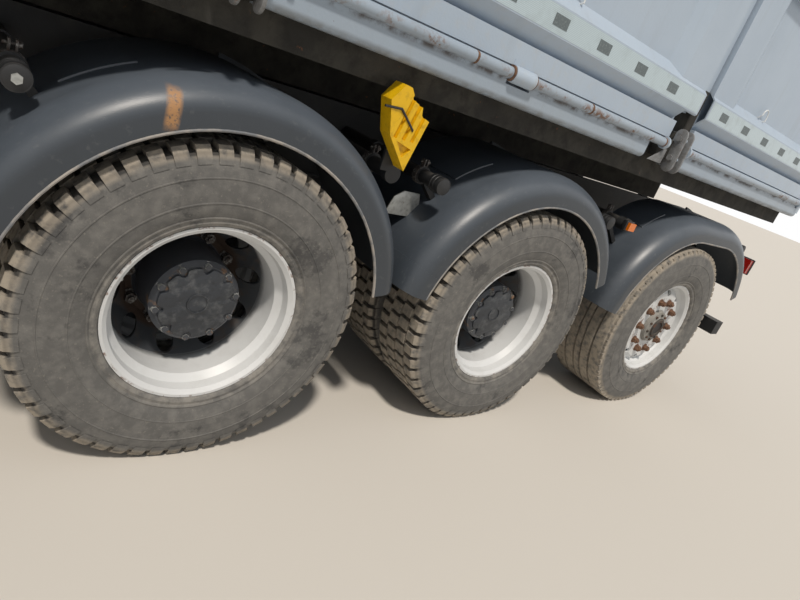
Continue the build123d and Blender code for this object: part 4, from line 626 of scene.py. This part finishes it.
def scalloped_plate(bm, x, sign, y0, y1, radius, dent, count, turn):
    """Round plate with a dent in its edge at each bolt."""
    rim = bmesh.ops.create_circle(bm, cap_ends=True, radius=radius, segments=count * 12,
                                  matrix=Matrix.Translation((x, sign * y0, AXLE_Z))
                                  @ Matrix.Rotation(radians(90), 4, "X"))["verts"]
    for v in rim:
        dx, dz = v.co.x - x, v.co.z - AXLE_Z
        phase = (atan2(dx, dz) - radians(turn)) * count / (2 * pi)
        near = abs(phase - round(phase)) * 2 / DENT_WIDTH
        shrink = 1 - dent / radius * max(0.0, 1 - near ** 2)
        v.co.x, v.co.z = x + dx * shrink, AXLE_Z + dz * shrink
    rounded(bm, extruded(bm, rim[0].link_faces[0], (0, sign * (y1 - y0), 0)), 0.003)


# Face's y, bolt circle, count, width over flats, height, washer's radius, stud's length, turn
TWIN_NUTS = (0.931, 0.1675, 10, 0.0335, 0.028, 0.025, 0.010, 12)
SINGLE_NUTS = (1.205, 0.1675, 10, 0.0335, 0.026, 0.024, 0.009, 90)
HUB_BOLTS = (1.229, 0.0845, 10, 0.014, 0.009, 0.0, 0.0, 0)
COVER_COUNT, COVER_TURN = 10, 31.5
COVER_BOLTS = (1.113, 0.1275, COVER_COUNT, 0.019, 0.020, 0.014, 0.0, COVER_TURN)
WASHER_T, STUD_SHARE = 0.004, 0.31
COVER_Y = 1.128                # the planetary cover's outer face
COVER_R, DENT, DENT_WIDTH = 0.1235, 0.020, 0.45
COVER_BOSS = [(0.0300, COVER_Y + 0.0085), (0.0305, COVER_Y + 0.0125),
              (0.0345, COVER_Y + 0.0125), (0.0355, COVER_Y + 0.0085)]
HUB_RIDGE = [(0.040, 1.2385), (0.042, 1.246), (0.058, 1.246), (0.062, 1.2385)]
VALVE = ((0.236, 1.03), (0.230, 1.115))
# Steps rolled into the barrel outside the disc, and the lock ring at the flange
RIM_STEPS = ((0.2600, 1.080), (0.2635, 1.140), (0.2830, 1.200))
STEP_SECTION = ((-0.004, 0.0), (-0.0045, 0.004), (0.002, 0.006), (0.002, -0.002))


class TIPPER_OT_wheel_fittings(bpy.types.Operator):
    """Build the wheels' nuts, planetary covers, hub caps and valves"""
    bl_idname = "tipper.wheel_fittings"
    bl_label = "Wheel fittings"

    def execute(self, context):
        for kind, tag, sign, x in WHEELS:
            body = "%s_wheel_%s" % (kind, tag)
            bm = bmesh.new()
            if kind == "drive":
                nut_ring(bm, x, sign, *TWIN_NUTS)
                piece("wheel_nuts_" + tag, bm, "nut_steel_dark", body)
                bm = bmesh.new()
                nut_ring(bm, x, sign, *COVER_BOLTS)
                rod(bm, *[(x + dx, sign * y, AXLE_Z + 0.06) for dx, y in VALVE], 0.006, sides=12)
                piece("cover_bolts_" + tag, bm, "bright_zinc", body)
                bm = bmesh.new()
                scalloped_plate(bm, x, sign, COVER_Y - 0.002, COVER_Y + 0.009, COVER_R, DENT,
                                COVER_COUNT, COVER_TURN)
                turned(bm, COVER_BOSS, x, AXLE_Z, sign, steps=48)
                piece("planetary_cover_" + tag, bm, "cover_black_enamel", body)
                bm = bmesh.new()
                for radius, y in RIM_STEPS:
                    turned(bm, [(radius + dr, y + dy) for dr, dy in STEP_SECTION], x, AXLE_Z, sign,
                           steps=80)
                piece("rim_steps_" + tag, bm, "rim_enamel", body)
            else:
                nut_ring(bm, x, sign, *SINGLE_NUTS)
                piece("%s_nuts_%s" % (kind, tag), bm, "rusty_steel", body)
                bm = bmesh.new()
                nut_ring(bm, x, sign, *HUB_BOLTS)
                turned(bm, HUB_RIDGE, x, AXLE_Z, sign, steps=32)
                piece("%s_hub_bolts_%s" % (kind, tag), bm, "cast_iron_dusty", body)
        return {"FINISHED"}


# Body

PANELS = (("rear", -4.184, -2.490), ("middle", -2.400, -0.330), ("front", -0.240, 1.926))
TAPE_ROOM, TAPE_Y, TAPE_T, TAPE_LOW, TAPE_HIGH = 0.012, 1.255, 0.0008, 1.684, 1.765
# Blank labels: step, room at the panel's rear and front, half sizes, and how far off the tape
LABEL_STEP, LABEL_ROOM, LABEL_HALF = 0.27, (0.05, 0.16), (0.040, 0.019)
LABEL_OFF = (0.0006, 0.0014)
HOOKS_X, HOOK_STEP, HOOK_ROOM, HOOK_WIRE = -2.245, 0.87, 0.06, 0.0034
# A wire hook from its middle: one foot in the panel, the round top, the other foot
HOOK = ((0.030, 1.196, 1.815),
        *[(0.030 * cos(pi * k / 6), 1.222, 1.838 + 0.034 * sin(pi * k / 6)) for k in range(7)],
        (-0.030, 1.222, 1.818), (-0.026, 1.196, 1.806))
LATCHES_X = (-2.450, -0.290)
# A latch, from its rear edge: two links on two pins with a washer and nuts, a gusset, and dark
# blocks in its recesses as painted shade
LINK_Y, LINK_LOW, LINK_HIGH, LINK_R = 1.252, 1.432, 1.572, 0.0310
LINKS_X, PINS_Z = ((0.0105, 0.0225), (0.0725, 0.0845)), (1.466, 1.557)
PIN_WASHER_X, PIN_WASHER_R = (0.084, 0.087), 0.019
PIN_NUTS_X, PIN_NUT_ACROSS = ((0.086, 0.097), (0.012, 0.001)), 0.026
GUSSET_Y = (1.234, 1.2415)
GUSSET = ((0.123, 1.425), (0.241, 1.425), (0.134, 1.494), (0.123, 1.494))
RECESS_Y = 1.149
RECESS_SHADES = ((0.024, 0.072, 1.233, 1.424, 1.582), (-0.001, 0.121, 1.2315, 1.4505, 1.5415),
            (-0.0295, 0.0395, 1.2195, 1.515, 1.795))
# The hinge rod's line, and the rusty collars beside its knuckles and ends: x, half width, radius
ROD_Y, ROD_Z = 1.240, 1.517
COLLARS = ((-1.177, 0.0035, 0.0270), (-1.293, 0.0035, 0.0270), (1.031, 0.0035, 0.0270),
           (0.915, 0.0035, 0.0270), (-1.000, 0.005, 0.0205), (-1.660, 0.006, 0.0205),
           (-2.272, 0.012, 0.0208), (-0.112, 0.012, 0.0208))
# Bolted seams of the posts: x, lowest and highest bolt
SEAMS = ((-4.21, 1.56, 2.36), (1.97, 1.56, 2.52))
SEAM_BOLTS, SEAM_BOLT_Y, SEAM_BOLT_ACROSS = 9, (1.2345, 1.2415), 0.019


class TIPPER_OT_body_fittings(bpy.types.Operator):
    """Build the tape with its blank labels, the wire hooks, latches, rod collars and post bolts"""
    bl_idname = "tipper.body_fittings"
    bl_label = "Body fittings"

    def execute(self, context):
        for hand, sign in SIDES:
            for name, x0, x1 in PANELS:
                tag = "%s_%s" % (hand, name)
                body = "drop_side_" + tag
                bm = bmesh.new()
                block(bm, (x0 + TAPE_ROOM, sign * TAPE_Y - TAPE_T, TAPE_LOW),
                      (x1 - TAPE_ROOM, sign * TAPE_Y + TAPE_T, TAPE_HIGH))
                piece("tape_" + tag, bm, "reflective_tape", body)
                bm = bmesh.new()
                middle, (half_x, half_z) = (TAPE_LOW + TAPE_HIGH) / 2, LABEL_HALF
                back, front = [sign * (TAPE_Y + off) for off in LABEL_OFF]
                x = x1 - LABEL_ROOM[1]
                while x > x0 + LABEL_ROOM[0]:
                    block(bm, (x - half_x, back, middle - half_z),
                          (x + half_x, front, middle + half_z))
                    x -= LABEL_STEP
                piece("tape_labels_" + tag, bm, "tape_label_grey", body)
                bm = bmesh.new()
                for x in [HOOKS_X + HOOK_STEP * k for k in range(-2, 5)]:
                    if x0 + HOOK_ROOM < x < x1 - HOOK_ROOM:
                        wire(bm, [(x + dx, sign * y, z) for dx, y, z in HOOK], HOOK_WIRE)
                piece("wire_hooks_" + tag, bm, "hook_white", body)
            plates, recess_shade, y = bmesh.new(), bmesh.new(), sign * LINK_Y
            for x0 in LATCHES_X:
                for x1, x2 in LINKS_X:
                    plate(plates, 0, x0 + x1, x0 + x2, stadium(y, LINK_LOW, LINK_HIGH, LINK_R),
                          0.002)
                for z in PINS_Z:
                    rod(plates, *[(x0 + x, y, z) for x in PIN_WASHER_X], PIN_WASHER_R)
                    for ends in PIN_NUTS_X:
                        hexagon(plates, *[(x0 + x, y, z) for x in ends], PIN_NUT_ACROSS)
                plate(plates, 1, *[sign * face for face in GUSSET_Y],
                      [(x0 + x, z) for x, z in GUSSET], 0.001)
                # Dark blocks in the latch's recesses: painted shade
                for x1, x2, y2, z1, z2 in RECESS_SHADES:
                    block(recess_shade, (x0 + x1, sign * RECESS_Y, z1), (x0 + x2, sign * y2, z2), 0.003)
            piece("latch_plates_" + hand, plates, "latch_steel", "body")
            piece("latch_recess_shade_" + hand, recess_shade, "underbody_shade_and_dirt", "body")
            bm = bmesh.new()
            for x, half, radius in COLLARS:
                rod(bm, (x - half, sign * ROD_Y, ROD_Z), (x + half, sign * ROD_Y, ROD_Z), radius,
                    sides=24)
            piece("rod_collars_" + hand, bm, "rusty_steel", "body")
            bm = bmesh.new()
            for x, low, high in SEAMS:
                for k in range(SEAM_BOLTS):
                    z = low + (high - low) * k / (SEAM_BOLTS - 1)
                    hexagon(bm, *[(x, sign * y, z) for y in SEAM_BOLT_Y], SEAM_BOLT_ACROSS)
            piece("post_bolts_" + hand, bm, "bright_zinc", "body")
        return {"FINISHED"}


# Mudguards

# Middle, forward end and rearward end in degrees from the top, straight stretch, inner edge
GUARDS = ((-0.355, 78, 78, 0.0, 0.620), (-1.770, 78, 66, 0.0, 0.620),
          (-3.195, 80, 65, 0.280, 0.860))
GUARD_Y, GUARD_Z, GUARD_T, LIP_R, CROWN_R = 1.250, 0.524, 0.008, 0.590, 0.712
SHOULDER_R, SHOULDER_RISE, SHOULDER_Y, SHOULDER_W = 0.635, 0.077, 1.135, 0.115
FLAP_TURN = 9
# Bands raised on the crown, sunk 3 mm into it: width and outer radius of the rib and the strap
BAND_R, RIB, STRAP = 0.709, (0.018, 0.726), (0.180, 0.7165)
STRAP_START, STRAP_TURN, STRAP_Y = 22, 16, 0.90
BEAD_R, BEAD_Y = 0.0055, GUARD_Y - 0.003


def section(over, under, edge, lip, steps=14):
    """A guard's section between two depths below its outer face, from its inner edge to its lip."""
    def shoulder(depth):
        return [(SHOULDER_R + (SHOULDER_RISE - depth) * cos(t),
                 SHOULDER_Y + (SHOULDER_W - depth) * sin(t))
                for t in [pi / 2 * k / steps for k in range(steps + 1)]]
    return ([(CROWN_R - over, edge)] + shoulder(over) + [(lip, GUARD_Y - over),
            (lip, GUARD_Y - under)] + shoulder(under)[::-1] + [(CROWN_R - under, edge)])


def band(y, width, radius):
    """Section of a band raised on a guard's crown."""
    return [(BAND_R, y), (radius, y + 0.004), (radius, y + width - 0.004), (BAND_R, y + width)]


def arch(bm, sign, x, front, rear, straight, inner):
    """One mudguard with a rounded shoulder, its front flap, rear rib and strap plate."""
    outline = section(0.0, GUARD_T, inner, LIP_R)
    top = turned(bm, outline, x, GUARD_Z, sign, steps=48, turn=front)
    if straight:
        edges = [bm.edges.get(pair) for pair in zip(top, top[1:] + top[:1])]
        out = bmesh.ops.extrude_edge_only(bm, edges=edges)["geom"]
        bmesh.ops.translate(bm, vec=(-straight, 0, 0), verts=verts_in(out))
    turned(bm, outline, x - straight, GUARD_Z, sign, steps=48, start=-rear, turn=rear)
    bmesh.ops.remove_doubles(bm, verts=bm.verts, dist=0.0002)
    bmesh.ops.holes_fill(bm, edges=[e for e in bm.edges if e.is_boundary], sides=0)
    flap = section(-0.003, 0.004, inner + 0.02, LIP_R + 0.008)
    for shape, centre, start, turn in (
            (flap, x, front - FLAP_TURN, FLAP_TURN + 0.3),
            (band(inner, *RIB), x - straight, -rear, rear - 6),
            (band(min(inner + 0.22, STRAP_Y), *STRAP), x, STRAP_START, STRAP_TURN)):
        faces = len(bm.faces)
        turned(bm, shape, centre, GUARD_Z, sign, steps=16, start=start, turn=turn)
        bm.faces.ensure_lookup_table()
        ends = {e for f in bm.faces[faces:] for e in f.edges if e.is_boundary}
        bmesh.ops.holes_fill(bm, edges=list(ends), sides=0)


ARMS = ((0.185, 1.098), (-0.900, 1.078), (-1.145, 1.074), (-2.300, 1.084), (-2.465, 1.092),
        (-3.960, 1.110))
LAMP_ARM, CHOCK_ARM = 4, 1
SLEEVE = ((0.0005, 1.1690), (0.0200, 1.1690), (0.0290, 1.1660), (0.0335, 1.1590), (0.0335, 1.1420),
          (0.0318, 1.1400), (0.0335, 1.1380), (0.0335, 1.1240), (0.0318, 1.1220), (0.0335, 1.1200),
          (0.0335, 1.1060), (0.0275, 1.1050))
LAMP_SLEEVE = ((0.0335, 1.106), (0.0335, 1.146), (0.020, 1.150), (0.0275, 1.105))
CLAMP = ((0.0345, 1.006), (0.0362, 1.008), (0.0362, 1.032), (0.0345, 1.034))
# A clamp's two ears over the arm, and the bolt through them: its head's top, its seat, its tip
CLAMP_Y, EARS_X, EAR_HALF, EAR_Z = 1.020, ((-0.011, -0.005), (0.005, 0.011)), 0.011, (0.033, 0.062)
CLAMP_BOLT_X, CLAMP_BOLT_Z = (-0.020, -0.011, 0.022), 0.050
CLAMP_BOLT_ACROSS, CLAMP_BOLT_R = 0.015, 0.004
LAMP_HALF, LAMP_Y = (0.037, 0.028), (1.146, 1.173)
CHOCK_STRAP = ((-0.738, 1.226, 1.290), (-0.801, 1.229, 1.295), (-0.867, 1.229, 1.243),
               (-0.886, 1.205, 1.222))
CHOCK_STRAP_R = 0.004
END_BOLT_Y, END_BOLT_ACROSS, BRACKET_Y = (1.168, 1.178), 0.022, (0.998, 1.004)
BRACKET =((-1.225, 0.894), (-1.050, 0.894), (-1.070, 0.965), (-1.110, 0.994), (-1.190, 0.994))


class TIPPER_OT_guard_fittings(bpy.types.Operator):
    """Build the rounded mudguards and their beads, the arms' sleeves and clamps, and the straps"""
    bl_idname = "tipper.guard_fittings"
    bl_label = "Guard fittings"

    def execute(self, context):
        for hand, sign in SIDES:
            sleeves, clamps, y = bmesh.new(), bmesh.new(), sign * CLAMP_Y
            for i, (x, z) in enumerate(ARMS):
                if i not in (LAMP_ARM, CHOCK_ARM):
                    turned(sleeves, SLEEVE, x, z, sign, steps=32, closed=False)
                turned(clamps, CLAMP, x, z, sign, steps=32)
                for x1, x2 in EARS_X:
                    block(clamps, (x + x1, y - EAR_HALF, z + EAR_Z[0]),
                          (x + x2, y + EAR_HALF, z + EAR_Z[1]), 0.001)
                head, seat, tip = [(x + dx, y, z + CLAMP_BOLT_Z) for dx in CLAMP_BOLT_X]
                hexagon(clamps, seat, head, CLAMP_BOLT_ACROSS)
                rod(clamps, seat, tip, CLAMP_BOLT_R, sides=10)
            # The marker lamp's rubber housing, and the black bands that hold the chock
            x, z = ARMS[LAMP_ARM]
            (half_x, half_z), (inner, outer) = LAMP_HALF, LAMP_Y
            block(sleeves, (x - half_x, sign * inner, z - half_z),
                  (x + half_x, sign * outer, z + half_z), 0.006, segments=3)
            turned(sleeves, LAMP_SLEEVE, x, z, sign, steps=32)
            wire(sleeves, on_side(sign, CHOCK_STRAP), CHOCK_STRAP_R)
            piece("arm_sleeves_" + hand, sleeves, "black_polypropylene", "chassis")
            piece("arm_clamps_" + hand, clamps, "nut_steel_dark", "chassis")
            # Pale bracket plate between the twin wheels' guards, and the first arm's end bolt
            bm = bmesh.new()
            plate(bm, 1, *[sign * face for face in BRACKET_Y], BRACKET, 0.0015)
            x, z = ARMS[0]
            hexagon(bm, *[(x, sign * end, z) for end in END_BOLT_Y], END_BOLT_ACROSS)
            piece("pale_brackets_" + hand, bm, "bright_zinc", "chassis")
            bm = bmesh.new()
            ring = [(LIP_R + 0.005 * cos(t), BEAD_Y + BEAD_R * sin(t))
                    for t in [2 * pi * k / 8 for k in range(8)]]
            for x, front, rear, straight, _ in GUARDS:
                arcs = [(x, -rear, front + rear)]
                if straight:
                    arcs = [(x, 0, front), (x - straight, -rear, rear)]
                    rod(bm, *[(end, sign * BEAD_Y, GUARD_Z + LIP_R) for end in (x - straight, x)],
                        BEAD_R, sides=8)
                for centre, start, turn in arcs:
                    turned(bm, ring, centre, GUARD_Z, sign, steps=40, start=start, turn=turn)
            piece("guard_beads_" + hand, bm, "guard_bead", "chassis")
        bm = bmesh.new()
        for _, sign in SIDES:
            for guard in GUARDS:
                arch(bm, sign, *guard)
        made = piece("rounded_mudguards", bm, "guard_polyethylene", "chassis",
                     smooth_deg=25)
        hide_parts("rear_mudguards")
        return {"FINISHED"}


# Cab

SCREEN_X, SCREEN_FOOT, SCREEN_SLOPE = 4.275, 1.70, 0.145 / 0.96
SCREEN_Y, SCREEN_LOW, SCREEN_HIGH, SEAL_R = 1.0, 1.77, 2.60, 0.014
# Height, lift off the screen and shift to the left of a wiper's arm and blade
WIPERS_Y = (-0.62, 0.05, 0.70)
WIPER_ARM = ((1.79, 0.004, 0.0), (2.02, 0.006, 0.10), (2.14, 0.002, 0.16))
WIPER_BLADE = ((1.90, -0.004, -0.12), (2.36, -0.004, 0.40))
REAR_WINDOW_X, REAR_WINDOW = 2.398, corners(-0.42, 0.42, 1.88, 2.42)
VISOR = ((4.128, 2.668), (4.235, 2.628), (4.262, 2.575), (4.256, 2.573), (4.230, 2.621),
         (4.128, 2.658))
ROOF_LAMPS_Y, ROOF_LAMP_X, ROOF_LAMP_R = (-0.92, -0.46, 0.0, 0.46, 0.92), 3.99, 0.040
ROOF_LAMP_Z, ROOF_LAMP_TOP_R = (2.775, 2.812, 2.824), 0.026
MIRROR = ((4.0560, 1.285, 1.96), (4.0595, 1.475, 2.33))
DOOR_WINDOW = ((3.08, 1.79), (3.96, 1.79), (3.87, 2.47), (3.08, 2.54))
DOOR_SEAL_Y, DOOR_SEAL_R = 1.150, 0.013
DISH_Y, DISH_X, DISH_Z, DISH_R = (1.149, 1.154), (3.08, 3.18), 1.63, 0.045
DOOR_STRIP = ((3.03, 1.148, 1.30), (4.02, 1.160, 1.335))


def on_screen(points, y):
    """Places on the sloped windscreen, beside y."""
    return [(SCREEN_X - (z - SCREEN_FOOT) * SCREEN_SLOPE + lift, y + shift, z)
            for z, lift, shift in points]


class TIPPER_OT_cab_fittings(bpy.types.Operator):
    """Build the window seals, wipers, visor, roof lamps, mirror glass and the doors' trim"""
    bl_idname = "tipper.cab_fittings"
    bl_label = "Cab fittings"

    def execute(self, context):
        bm = bmesh.new()
        low, high = (SCREEN_LOW, 0.0, 0.0), (SCREEN_HIGH, 0.0, 0.0)
        for z in (SCREEN_LOW, SCREEN_HIGH):
            rod(bm, *on_screen([(z, 0.0, -SCREEN_Y), (z, 0.0, SCREEN_Y)], 0.0), SEAL_R)
        for y in (-SCREEN_Y, SCREEN_Y):
            rod(bm, *on_screen([low, high], y), SEAL_R)
        for y in WIPERS_Y:
            wire(bm, on_screen(WIPER_ARM, y), 0.007)
            rod(bm, *on_screen(WIPER_BLADE, y), 0.008)
        # Rubber round the rear window, and a dark visor on brackets over the windscreen
        loop_of(bm, 0, REAR_WINDOW_X, REAR_WINDOW, SEAL_R)
        plate(bm, 1, -0.98, 0.98, VISOR, 0.001)
        piece("window_seals_and_visor", bm, "black_polypropylene", "cab")
        bm = bmesh.new()
        for y in ROOF_LAMPS_Y:
            foot, edge, top = [(ROOF_LAMP_X, y, z) for z in ROOF_LAMP_Z]
            rod(bm, foot, edge, ROOF_LAMP_R, sides=24)
            rod(bm, edge, top, ROOF_LAMP_R, sides=24, radius_end=ROOF_LAMP_TOP_R)
        piece("roof_lamps", bm, "amber_lens_acrylic", "cab")
        for hand, sign in SIDES:
            bm = bmesh.new()
            block(bm, *on_side(sign, MIRROR), 0.0015)
            piece("mirror_glass_" + hand, bm, "mirror_glass", "cab")
            # Seal round the door's window, the handle's dished plate and the strip low on the door
            bm = bmesh.new()
            loop_of(bm, 1, sign * DOOR_SEAL_Y, DOOR_WINDOW, DOOR_SEAL_R)
            plate(bm, 1, *[sign * face for face in DISH_Y],
                  [(x, z) for z, x in stadium(DISH_Z, *DISH_X, DISH_R)], 0.001)
            block(bm, *on_side(sign, DOOR_STRIP), 0.004)
            piece("door_trim_" + hand, bm, "black_polypropylene", "door_" + hand)
        return {"FINISHED"}


# Chassis

HEADLAMP_Z, BOWLS = 0.72, ((0.955, 0.056), (1.085, 0.048))
BOWL_X, BULB_SHARE = (4.2955, 4.2975, 4.2970, 4.2990), 0.45
REAR_LAMP_X, REAR_LENSES_Y = (-4.2480, -4.2385), ((0.910, 1.010), (1.016, 1.086), (1.092, 1.160))
REAR_LENS_Z = (0.965, 1.045)
# Rims round the headlamps and the rear lamps: x, from and to in y and in z, radius
LAMP_RIMS = ((4.2885, 0.885, 1.155, 0.645, 0.795, 0.011),
             (-4.2385, 0.90, 1.17, 0.955, 1.055, 0.008))
REFLECTOR = ((-4.2545, 0.74, 0.478), (-4.2495, 1.16, 0.562))
# Blank plates in front and behind: two opposite corners
PLATES = (((4.262, -0.26, 0.575), (4.268, 0.26, 0.685)),
          ((-4.2545, -0.26, 0.467), (-4.2495, 0.26, 0.573)))
CROSSMEMBERS_X = (2.33, 1.30, 0.30, -0.80, -2.35, -2.75, -3.94)
RAIL_BOLTS = corners(-0.028, 0.028, 0.885, 0.965)
RAIL_BOLT_Y, RAIL_WASHER_R, RAIL_BOLT_ACROSS = (0.4295, 0.433, 0.445), 0.016, 0.024
PIPES = ((1.012, 0.437), (0.845, 0.438))
PIPE_RUN = ((2.30, 0.0), (0.4, 0.0), (-1.1, 0.004), (-2.6, -0.004), (-3.9, 0.0))
STEPS_Z, TREAD_BARS, TREAD_PITCH = (0.480, 0.740), 6, 0.027
TANK_STRAPS_X, STRAP_HALF = (1.12, 1.82), 0.025
# A tank strap's three runs: from and to in y and z
STRAP_RUNS = ((0.424, 1.038, 1.133, 1.0435), (1.1285, 0.517, 1.1335, 1.043),
              (0.424, 0.5165, 1.133, 0.522))
# The cap's place, and its neck and knob: lowest and highest z, radius below and above, sides
TANK_CAP, CAP_STEPS = (1.46, 0.86), ((1.036, 1.062, 0.052, 0.052, 32),
                                     (1.060, 1.076, 0.044, 0.040, 12))


class TIPPER_OT_chassis_fittings(bpy.types.Operator):
    """Build the lamps' lenses and rims, blank plates, rail bolts, air pipes, straps and treads"""
    bl_idname = "tipper.chassis_fittings"
    bl_label = "Chassis fittings"

    def execute(self, context):
        trim, bolts, pale, red, amber = [bmesh.new() for _ in range(5)]
        for _, sign in SIDES:
            for x, y0, y1, z0, z1, radius in LAMP_RIMS:
                loop_of(trim, 0, x, corners(sign * y0, sign * y1, z0, z1), radius)
            for y, radius in BOWLS:
                back, face, front, glass = [(x, sign * y, HEADLAMP_Z) for x in BOWL_X]
                rod(pale, back, face, radius, sides=40)
                rod(trim, front, glass, radius * BULB_SHARE, sides=24)
            for bm, (y0, y1) in zip((red, amber, pale), REAR_LENSES_Y):
                block(bm, *[(x, sign * y, z) for x, y, z in zip(REAR_LAMP_X, (y0, y1),
                                                                REAR_LENS_Z)], 0.004)
            block(red, *on_side(sign, REFLECTOR), 0.001)
            for x in CROSSMEMBERS_X:
                for dx, z in RAIL_BOLTS:
                    web, washer, head = [(x + dx, sign * y, z) for y in RAIL_BOLT_Y]
                    rod(bolts, web, washer, RAIL_WASHER_R)
                    hexagon(bolts, washer, head, RAIL_BOLT_ACROSS)
            # Air pipes clipped along the rail, and treads across the steps
            for z, y in PIPES:
                wire(trim, [(x, sign * y, z + dz) for x, dz in PIPE_RUN], 0.008)
            for z in STEPS_Z:
                for y in [1.062 + TREAD_PITCH * k for k in range(TREAD_BARS)]:
                    block(bolts, (3.56, sign * y, z - 0.001), (3.96, sign * (y + 0.010), z + 0.004),
                          0.001)
        # Straps and cap of the fuel tank on the left
        for x in TANK_STRAPS_X:
            for y0, z0, y1, z1 in STRAP_RUNS:
                block(bolts, (x - STRAP_HALF, y0, z0), (x + STRAP_HALF, y1, z1), 0.002)
        for low, high, foot_r, top_r, sides in CAP_STEPS:
            rod(trim, (*TANK_CAP, low), (*TANK_CAP, high), foot_r, sides, top_r)
        for start, end in PLATES:
            block(pale, start, end, 0.001)
        piece("lamp_rims_pipes_and_cap", trim, "black_polypropylene", "chassis")
        piece("bolts_straps_and_treads", bolts, "bright_zinc", "chassis")
        piece("lamp_bowls_and_blank_plates", pale, "plate_white", "chassis")
        piece("rear_red_lenses", red, "red_lens_acrylic", "chassis")
        piece("rear_amber_lenses", amber, "amber_lens_acrylic", "chassis")
        return {"FINISHED"}


# Stage

FLOOR_HALF, SUN_WAY, SUN_WIDTH = 60.0, (-0.35, -0.5, -1.0), 5
# The photograph's camera: a wide lens close beside the second axle, leaning to the right
CAMERA_AT = (0.3403, 2.7465, 1.3892)
YAW, PITCH, ROLL = radians(43.126), radians(20.037), radians(20.770)
SENSOR_MM, FOCAL_PX, PHOTO_PX = 36.0, 580.15, 800


class TIPPER_OT_stage(bpy.types.Operator):
    """Pale floor, soft light, and the camera at the photograph's angle"""
    bl_idname = "tipper.stage"
    bl_label = "Stage"

    def execute(self, context):
        scene, settings = context.scene, context.scene.tipper_stage
        # Smooth pale concrete, matt, with no pattern of its own
        coated("floor_pale", "#cfcac2", rough=0.9)
        bm = bmesh.new()
        bmesh.ops.create_grid(bm, x_segments=1, y_segments=1, size=FLOOR_HALF)
        shown("floor", bm, "floor_pale")
        world = bpy.data.worlds.new("sky")
        world.use_nodes = True
        scene.world = world
        tree = world.node_tree
        tree.nodes.clear()
        soft = add(tree, "Background", {"Color": linear("#eef2f7"), "Strength": settings.sky})
        white = add(tree, "Background", {"Color": linear("#ffffff"), "Strength": 1.0})
        seen = add(tree, "LightPath", out="Is Camera Ray")
        for kind in ("Is Glossy Ray", "Is Transmission Ray"):
            seen = add(tree, "Math", {0: seen, 1: add(tree, "LightPath", out=kind)},
                       operation="MAXIMUM")
        add(tree, "OutputWorld", {0: add(tree, "MixShader", {0: seen, 1: soft, 2: white})})
        sun = bpy.data.lights.new("key", "SUN")
        sun.energy, sun.angle, sun.color = settings.lamp, radians(SUN_WIDTH), linear("#fff6ea")[:3]
        lamp = bpy.data.objects.new("key", sun)
        lamp.rotation_euler = Vector(SUN_WAY).to_track_quat("-Z", "Y").to_euler()
        scene.collection.objects.link(lamp)
        scene.view_settings.view_transform = "Standard"
        ahead = Vector((-sin(YAW) * cos(PITCH), -cos(YAW) * cos(PITCH), -sin(PITCH)))
        level = ahead.cross(Vector((0, 0, 1))).normalized()
        upright = level.cross(ahead)
        right = cos(ROLL) * level + sin(ROLL) * upright
        up = -sin(ROLL) * level + cos(ROLL) * upright
        data = bpy.data.cameras.new("camera")
        data.sensor_width, data.lens = SENSOR_MM, FOCAL_PX / PHOTO_PX * SENSOR_MM
        camera = bpy.data.objects.new("camera", data)
        turn = Matrix((right, up, -ahead)).transposed()
        camera.matrix_world = Matrix.Translation(CAMERA_AT) @ turn.to_4x4()
        scene.collection.objects.link(camera)
        scene.camera = camera
        return {"FINISHED"}


class TIPPER_PT_panel(bpy.types.Panel):
    """Lists the pieces and their settings"""
    bl_idname = "TIPPER_PT_panel"
    bl_label = "Tipper truck"
    bl_space_type = "VIEW_3D"
    bl_region_type = "UI"
    bl_category = "Tipper"

    def draw(self, context):
        for name, kind in GROUPS.items():
            for key in kind.__annotations__:
                self.layout.prop(getattr(context.scene, name), key)
        for step in STEPS:
            self.layout.operator(step.bl_idname)


STEPS = (TIPPER_OT_finishes, TIPPER_OT_tyres, TIPPER_OT_wheel_fittings, TIPPER_OT_body_fittings,
         TIPPER_OT_guard_fittings, TIPPER_OT_cab_fittings, TIPPER_OT_chassis_fittings,
         TIPPER_OT_stage)
GROUPS = {"tipper_paint": TipperPaint, "tipper_tyres": TipperTyres, "tipper_stage": TipperStage}


def register():
    for kind in (*GROUPS.values(), *STEPS, TIPPER_PT_panel):
        bpy.utils.register_class(kind)
    for name, kind in GROUPS.items():
        setattr(bpy.types.Scene, name, bpy.props.PointerProperty(type=kind))


def unregister():
    for name in GROUPS:
        delattr(bpy.types.Scene, name)
    for kind in (TIPPER_PT_panel, *STEPS[::-1], *GROUPS.values()):
        bpy.utils.unregister_class(kind)


def main():
    register()
    for step in STEPS:
        group, name = step.bl_idname.split(".")
        getattr(getattr(bpy.ops, group), name)()


if __name__ == "__main__":
    main()
